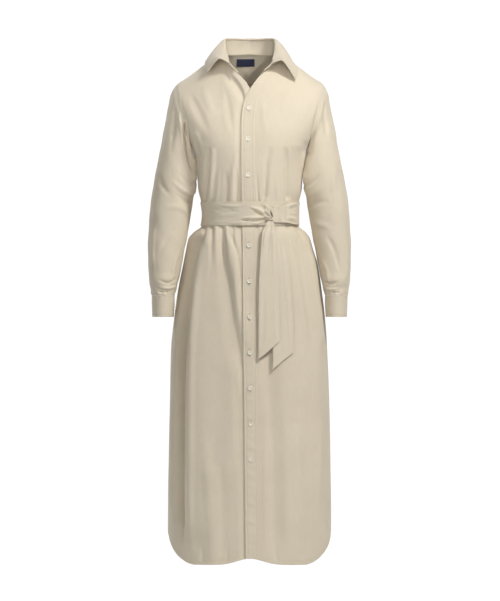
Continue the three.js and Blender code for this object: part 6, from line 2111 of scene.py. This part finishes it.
    def knot(self) -> None:
        """The knot, a turn of the sash drawn tight."""
        rows, columns = 61, 72
        spot = self.body.spot(np.array(45.0), np.array(-386.0))
        lift = self.lift(spot.points[0], spot.points[1]) + self.wall + 0.5 + 7
        normal = spot.normals
        across = np.array([-normal[1], normal[0], 0.0])
        centre = spot.points + normal * lift
        up = np.linspace(-math.pi / 2, math.pi / 2, rows)[:, None]
        around = np.linspace(0, 2 * math.pi, columns + 1)[None, :-1]
        x = np.cos(up) * np.cos(around)
        depth = np.cos(up) * np.sin(around)
        y = np.sin(up) + 0 * around
        bulge = lambda v: np.sign(v) * np.abs(v) ** 0.75
        pinch = 1 - 0.25 * np.maximum(0, y)
        px, py, pd = bulge(x) * 14 * pinch, bulge(y) * 17, bulge(depth) * 7
        low = 0.68 * (1 - np.exp(-(((px - 2) / 8) ** 2)))
        pd = pd * (1 - low) - 7 * low
        outer = depth > 0
        ridges = (
            Crease(((-14, 10), (-6, 4), (0, -5)), 3.0, 3.2, 2.6, 0.1, 0.1),
            Crease(((-14, 3), (-7, -2), (-1, -7)), -3.4, 2.2, 2.2, 0.1, 0.2, 1.2),
            Crease(((-14, -5), (-6, -8), (0, -10)), 2.4, 2.6, 2.6, 0.1, 0.2),
            Crease(((-1, 14), (0.5, 7), (2.5, 0), (7, -6)), -8.0, 2.4, 2.8, 0.55, 0.08),
            Crease(((7.5, -5), (6, -8), (1.5, -11)), -7.0, 2.6, 2.4, 0.08, 0.3),
            Crease(((-3, 12), (-2, 4), (0, -3)), 1.4, 2.5, 1.6, 0.3, 0.3),
        )
        push = np.where(outer, creased(ridges, px, py), 0.0)
        points = centre + px[..., None] * across + (pd + push)[..., None] * normal + stack(0.0, 0.0, py)
        flat = points.reshape(-1, 3)
        faces = []
        for r in range(rows - 1):
            for c in range(columns):
                n = (c + 1) % columns
                faces.append((r * columns + c, r * columns + n, (r + 1) * columns + n, (r + 1) * columns + c))
        outward = np.cross(across, np.array([0, 0, 1.0]))
        if np.dot(outward, normal) > 0:
            faces = [tuple(reversed(f)) for f in faces]
        made = self.room.mesh("belt_knot_cloth", flat, faces, self.room.finishes.sash)
        # Faces deep in the knot's hollow take a near-black painted shade.
        made.data.materials.append(self.room.finishes.knot_shade)
        depths = push.ravel()[np.asarray(faces)].mean(axis=1)
        made.data.polygons.foreach_set("material_index", (depths < -3.8).astype(np.int32))
        uv = made.data.uv_layers.new(name="cut")
        loops = np.empty(len(made.data.loops), dtype=np.int32)
        made.data.loops.foreach_get("vertex_index", loops)
        flat_uv = np.stack([px.ravel(), py.ravel()], axis=-1) * MM
        uv.data.foreach_set("uv", flat_uv[loops].ravel().astype(np.float32))
        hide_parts("belt_knot")


@dataclass
class Studio:
    """The pale floor, the soft light and the camera.

    Attributes:
        distance: From the camera to the dress, in metres.
        level: Height of the camera.
        half_height: Half of what the picture takes in.
    """

    distance: float = 16.0
    level: float = -0.601
    half_height: float = 0.75125

    def area(self, name: str, place: Row, aim: Row, size: float, power: float, colour: Row = (1, 1, 1)) -> None:
        """Adds a square light."""
        light = bpy.data.lights.new(name, "AREA")
        light.shape, light.size, light.energy, light.color = "SQUARE", size, power, colour
        made = bpy.data.objects.new(name, light)
        made.location = place
        made.rotation_euler = (Vector(aim) - Vector(place)).to_track_quat("-Z", "Y").to_euler()
        made.visible_camera = False
        bpy.context.scene.collection.objects.link(made)

    def neck_light(self) -> None:
        """Lights the inside of the neck from the front."""
        light = bpy.data.lights.new("neck_light", "SPOT")
        light.energy, light.shadow_soft_size = 2100.0, 0.3
        light.spot_size, light.spot_blend = math.radians(2.9), 1.0
        made = bpy.data.objects.new("neck_light", light)
        place, aim = Vector((0.05, -4.0, -0.8)), Vector((0.0, 0.04, -0.03))
        made.location = place
        made.rotation_euler = (aim - place).to_track_quat("-Z", "Y").to_euler()
        bpy.context.scene.collection.objects.link(made)

    def floor(self) -> None:
        """Lays a round pale floor under the dress."""
        count, rings = 96, (0.0, 0.5, 1.0, 1.5)
        points = [(0.0, 0.0, -1500.0)]
        for r in rings[1:]:
            points += [(r * 1000 * math.cos(2 * math.pi * k / count), r * 1000 * math.sin(2 * math.pi * k / count), -1500.0)
                       for k in range(count)]
        faces: list[tuple[int, ...]] = [(0, 1 + k, 1 + (k + 1) % count) for k in range(count)]
        for ring in range(2):
            low, high = 1 + ring * count, 1 + (ring + 1) * count
            faces += [(low + k, high + k, high + (k + 1) % count, low + (k + 1) % count) for k in range(count)]
        mesh = bpy.data.meshes.new("floor")
        mesh.from_pydata((np.asarray(points) * MM).tolist(), [], faces)
        nodes = Nodes("pale_floor")
        place = nodes.add("ShaderNodeTexCoord", {}, {}, "Object")
        cloud = nodes.add("ShaderNodeTexNoise", {}, {"Vector": place, "Scale": 3.0})
        mesh.materials.append(
            nodes.surface(Base_Color=nodes.mix(cloud, (0.86, 0.86, 0.86), (0.9, 0.9, 0.9)), Roughness=0.8)
        )
        made = bpy.data.objects.new("floor", mesh)
        bpy.context.scene.collection.objects.link(made)

    def build(self) -> None:
        """Sets the floor, the light and the camera."""
        self.floor()
        world = bpy.data.worlds.new("studio")
        world.use_nodes = True
        tree = world.node_tree
        back = tree.nodes["Background"]
        back.inputs["Color"].default_value = (1.0, 1.0, 1.0, 1.0)
        back.inputs["Strength"].default_value = 0.25
        bright = tree.nodes.new("ShaderNodeBackground")
        bright.inputs["Color"].default_value = (1.0, 1.0, 1.0, 1.0)
        bright.inputs["Strength"].default_value = 1.05
        path = tree.nodes.new("ShaderNodeLightPath")
        mix = tree.nodes.new("ShaderNodeMixShader")
        tree.links.new(path.outputs["Is Camera Ray"], mix.inputs[0])
        tree.links.new(back.outputs[0], mix.inputs[1])
        tree.links.new(bright.outputs[0], mix.inputs[2])
        tree.links.new(mix.outputs[0], tree.nodes["World Output"].inputs["Surface"])
        bpy.context.scene.world = world
        aim = (0.0, 0.0, -0.55)
        self.area("key_light", (1.8, -1.85, 2.0), (0.0, 0.0, -0.2), 0.6, 84.0, (1.0, 0.985, 0.96))
        self.area("front_light", (0.0, -2.5, 0.9), (0.0, 0.0, -0.2), 1.3, 9.0)
        self.area("fill_light", (-1.4, -4.0, 0.2), aim, 1.6, 19.0)
        self.neck_light()
        self.area("back_light", (-2.4, 2.7, 1.8), aim, 1.2, 62.0)
        self.area("back_light_right", (2.2, 3.0, 0.6), aim, 1.6, 20.0)
        camera = bpy.data.cameras.new("camera")
        camera.sensor_width = 36.0
        camera.lens = 18.0 / (self.half_height / self.distance)
        camera.clip_start, camera.clip_end = 0.1, 100.0
        made = bpy.data.objects.new("camera", camera)
        made.location = (0.0, -self.distance, self.level)
        made.rotation_euler = (math.pi / 2, 0.0, 0.0)
        bpy.context.scene.collection.objects.link(made)
        bpy.context.scene.camera = made
        bpy.context.scene.view_settings.view_transform = "Standard"


SLEEVE_RIGHT = (
    (0, 180, -58, 146, -215, 72, 76, 4.5), (1, 195, -78, 144.5, -227, 70, 74, 4), (2, 204.5, -115, 142, -243, 64, 66, 3),
    (3, 213.5, -165, 138.5, -266, 60, 62, 2), (4, 224, -220, 136, -294, 57, 60, 1), (5, 235.5, -280, 139, -332, 55, 58, 0),
    (6, 246, -340, 146, -377, 53, 56, -2), (7, 252, -400, 154, -425, 51, 54, -7), (8, 255, -460, 163.5, -475, 48, 51, -13),
    (9, 254, -520, 173, -527, 45, 48, -20), (10, 250, -562, 181.5, -565, 42, 44, -26),
    (11, 245.5, -588.6, 188, -588.6, 38, 39, -29),
)
SLEEVE_LEFT = (
    (0, 180, -58, 146, -215, 72, 76, 4.5), (1, 193, -78, 144.5, -227, 70, 74, 4), (2, 200.5, -115, 142, -243, 64, 66, 3),
    (3, 211, -165, 138.5, -266, 60, 62, 2), (4, 220.5, -220, 136, -294, 57, 60, 1), (5, 232, -280, 138.5, -332, 55, 58, 0),
    (6, 243.5, -340, 145, -377, 53, 56, -2), (7, 249, -400, 153.5, -425, 51, 54, -7), (8, 252, -460, 163, -475, 48, 51, -13),
    (9, 251.5, -520, 173, -527, 45, 48, -20), (10, 248, -562, 181, -565, 42, 44, -26),
    (11, 243.5, -588.6, 187, -588.6, 38, 39, -29),
)

# Sleeve creases: degrees round the sleeve from its outer line by way of the front, and millimetres down it
RIGHT_CREASES = (
    Crease(((104, -14), (110, -60), (120, -120), (136, -200)), -11.0, 9, 32, 0.1, 0.4),
    Crease(((40, -40), (58, -110), (66, -190)), -3.4, 18, 16, 0.3, 0.5, 1.1),
    Crease(((78, -30), (92, -90), (110, -150)), 2.4, 16, 18, 0.3, 0.5),
    Crease(((150, -60), (128, -110), (112, -160)), -2.4, 14, 14, 0.2, 0.6),
    Crease(((168, -110), (140, -160), (110, -190)), 2.2, 14, 13, 0.2, 0.6),
    Crease(((172, -200), (132, -222), (86, -216)), -2.6, 10, 11, 0.2, 0.5, 1.1),
    Crease(((176, -232), (126, -250), (70, -238)), 2.6, 12, 11, 0.2, 0.5, 1.1),
    Crease(((170, -262), (130, -272), (92, -262)), -2.2, 9, 10, 0.2, 0.5, 1.2),
    Crease(((160, -300), (118, -292), (66, -304)), 1.8, 12, 11, 0.3, 0.5),
    Crease(((30, -236), (60, -262), (96, -276)), -1.8, 10, 10, 0.3, 0.5),
    Crease(((120, -330), (90, -372), (64, -410)), -2.0, 13, 12, 0.3, 0.5),
    Crease(((50, -330), (44, -390), (52, -450)), 2.0, 14, 13, 0.4, 0.4),
    Crease(((140, -380), (126, -430), (128, -480)), 1.9, 12, 12, 0.3, 0.4),
    Crease(((150, -452), (106, -470), (58, -458)), -2.4, 9, 9, 0.2, 0.4, 1.1),
    Crease(((158, -480), (110, -492), (54, -484)), 2.4, 10, 9, 0.2, 0.4, 1.1),
    Crease(((130, -506), (92, -512), (50, -502)), -2.2, 8, 8, 0.2, 0.4, 1.1),
    Crease(((24, -486), (64, -500), (96, -498)), 1.4, 8, 8, 0.3, 0.4),
    Crease(((190, -210), (236, -236), (280, -228)), -2.4, 11, 11, 0.2, 0.5),
    Crease(((186, -250), (230, -268), (292, -262)), 2.4, 12, 11, 0.2, 0.5),
    Crease(((200, -340), (236, -390), (250, -440)), -2.0, 13, 12, 0.3, 0.4),
    Crease(((206, -470), (250, -490), (306, -482)), 2.2, 10, 9, 0.2, 0.4),
    Crease(((250, -60), (264, -130), (262, -190)), -2.2, 16, 15, 0.3, 0.5),
    Crease(((300, -100), (312, -200), (306, -320)), 1.8, 16, 15, 0.4, 0.4),
)
LEFT_CREASES = (
    Crease(((46, -34), (56, -100), (60, -170)), -2.4, 16, 15, 0.3, 0.5),
    Crease(((86, -30), (100, -84), (118, -140)), 2.2, 15, 16, 0.3, 0.5),
    Crease(((140, -44), (116, -60), (84, -64)), -2.4, 9, 8, 0.2, 0.5, 1.2),
    Crease(((160, -70), (134, -120), (108, -150)), -2.0, 13, 14, 0.2, 0.6),
    Crease(((172, -150), (148, -196), (116, -216)), 2.2, 13, 13, 0.2, 0.6),
    Crease(((176, -214), (136, -226), (80, -212)), -2.4, 10, 11, 0.2, 0.5, 1.1),
    Crease(((170, -246), (128, -252), (88, -240)), 2.3, 11, 10, 0.2, 0.5),
    Crease(((166, -280), (120, -278), (74, -292)), -2.0, 10, 10, 0.2, 0.5),
    Crease(((40, -220), (66, -256), (70, -300)), 1.9, 12, 12, 0.3, 0.5),
    Crease(((150, -320), (110, -334), (80, -352)), 1.7, 12, 11, 0.3, 0.5),
    Crease(((110, -350), (84, -400), (70, -446)), -2.2, 13, 13, 0.3, 0.4),
    Crease(((46, -360), (40, -420), (48, -470)), 1.8, 13, 13, 0.4, 0.4),
    Crease(((140, -400), (122, -440), (124, -486)), 1.9, 12, 12, 0.3, 0.4),
    Crease(((152, -462), (110, -474), (66, -462)), -2.2, 9, 9, 0.2, 0.4, 1.1),
    Crease(((156, -488), (108, -497), (60, -490)), 2.3, 9, 9, 0.2, 0.4, 1.1),
    Crease(((124, -510), (90, -514), (52, -508)), -1.8, 7, 8, 0.2, 0.4),
    Crease(((192, -204), (240, -228), (286, -222)), -2.3, 11, 11, 0.2, 0.5),
    Crease(((188, -244), (232, -262), (288, -254)), 2.3, 12, 11, 0.2, 0.5),
    Crease(((204, -330), (232, -380), (256, -424)), -2.0, 13, 12, 0.3, 0.4),
    Crease(((204, -466), (252, -484), (300, -476)), 2.1, 10, 9, 0.2, 0.4),
    Crease(((256, -66), (268, -136), (258, -196)), -2.0, 15, 16, 0.3, 0.5),
    Crease(((304, -120), (310, -220), (300, -330)), 1.8, 15, 16, 0.4, 0.4),
)


def main() -> None:
    """Builds the dress and lights it."""
    logging.basicConfig(level=logging.INFO, format="%(name)s %(message)s")
    room = Workroom(Finishes())
    body = Body()
    panels = Panels(room, body)
    edges = panels.build()
    Sleeve(room, "right", -1.0, SLEEVE_RIGHT, RIGHT_CREASES).build(edges.rings["right"])
    Sleeve(room, "left", 1.0, SLEEVE_LEFT, LEFT_CREASES).build(edges.rings["left"])
    Collar(room, body).build(edges.neckline)
    Sash(room, body).build()
    for i, z in enumerate(panels.button_levels()):
        place, normal = panels.button_spot(z)
        Button(room, f"button_{i + 1:02d}").build(place, normal, SEAM_GAP + STRIP + LAP_GAP)
    Studio().build()


if __name__ == "__main__":
    main()
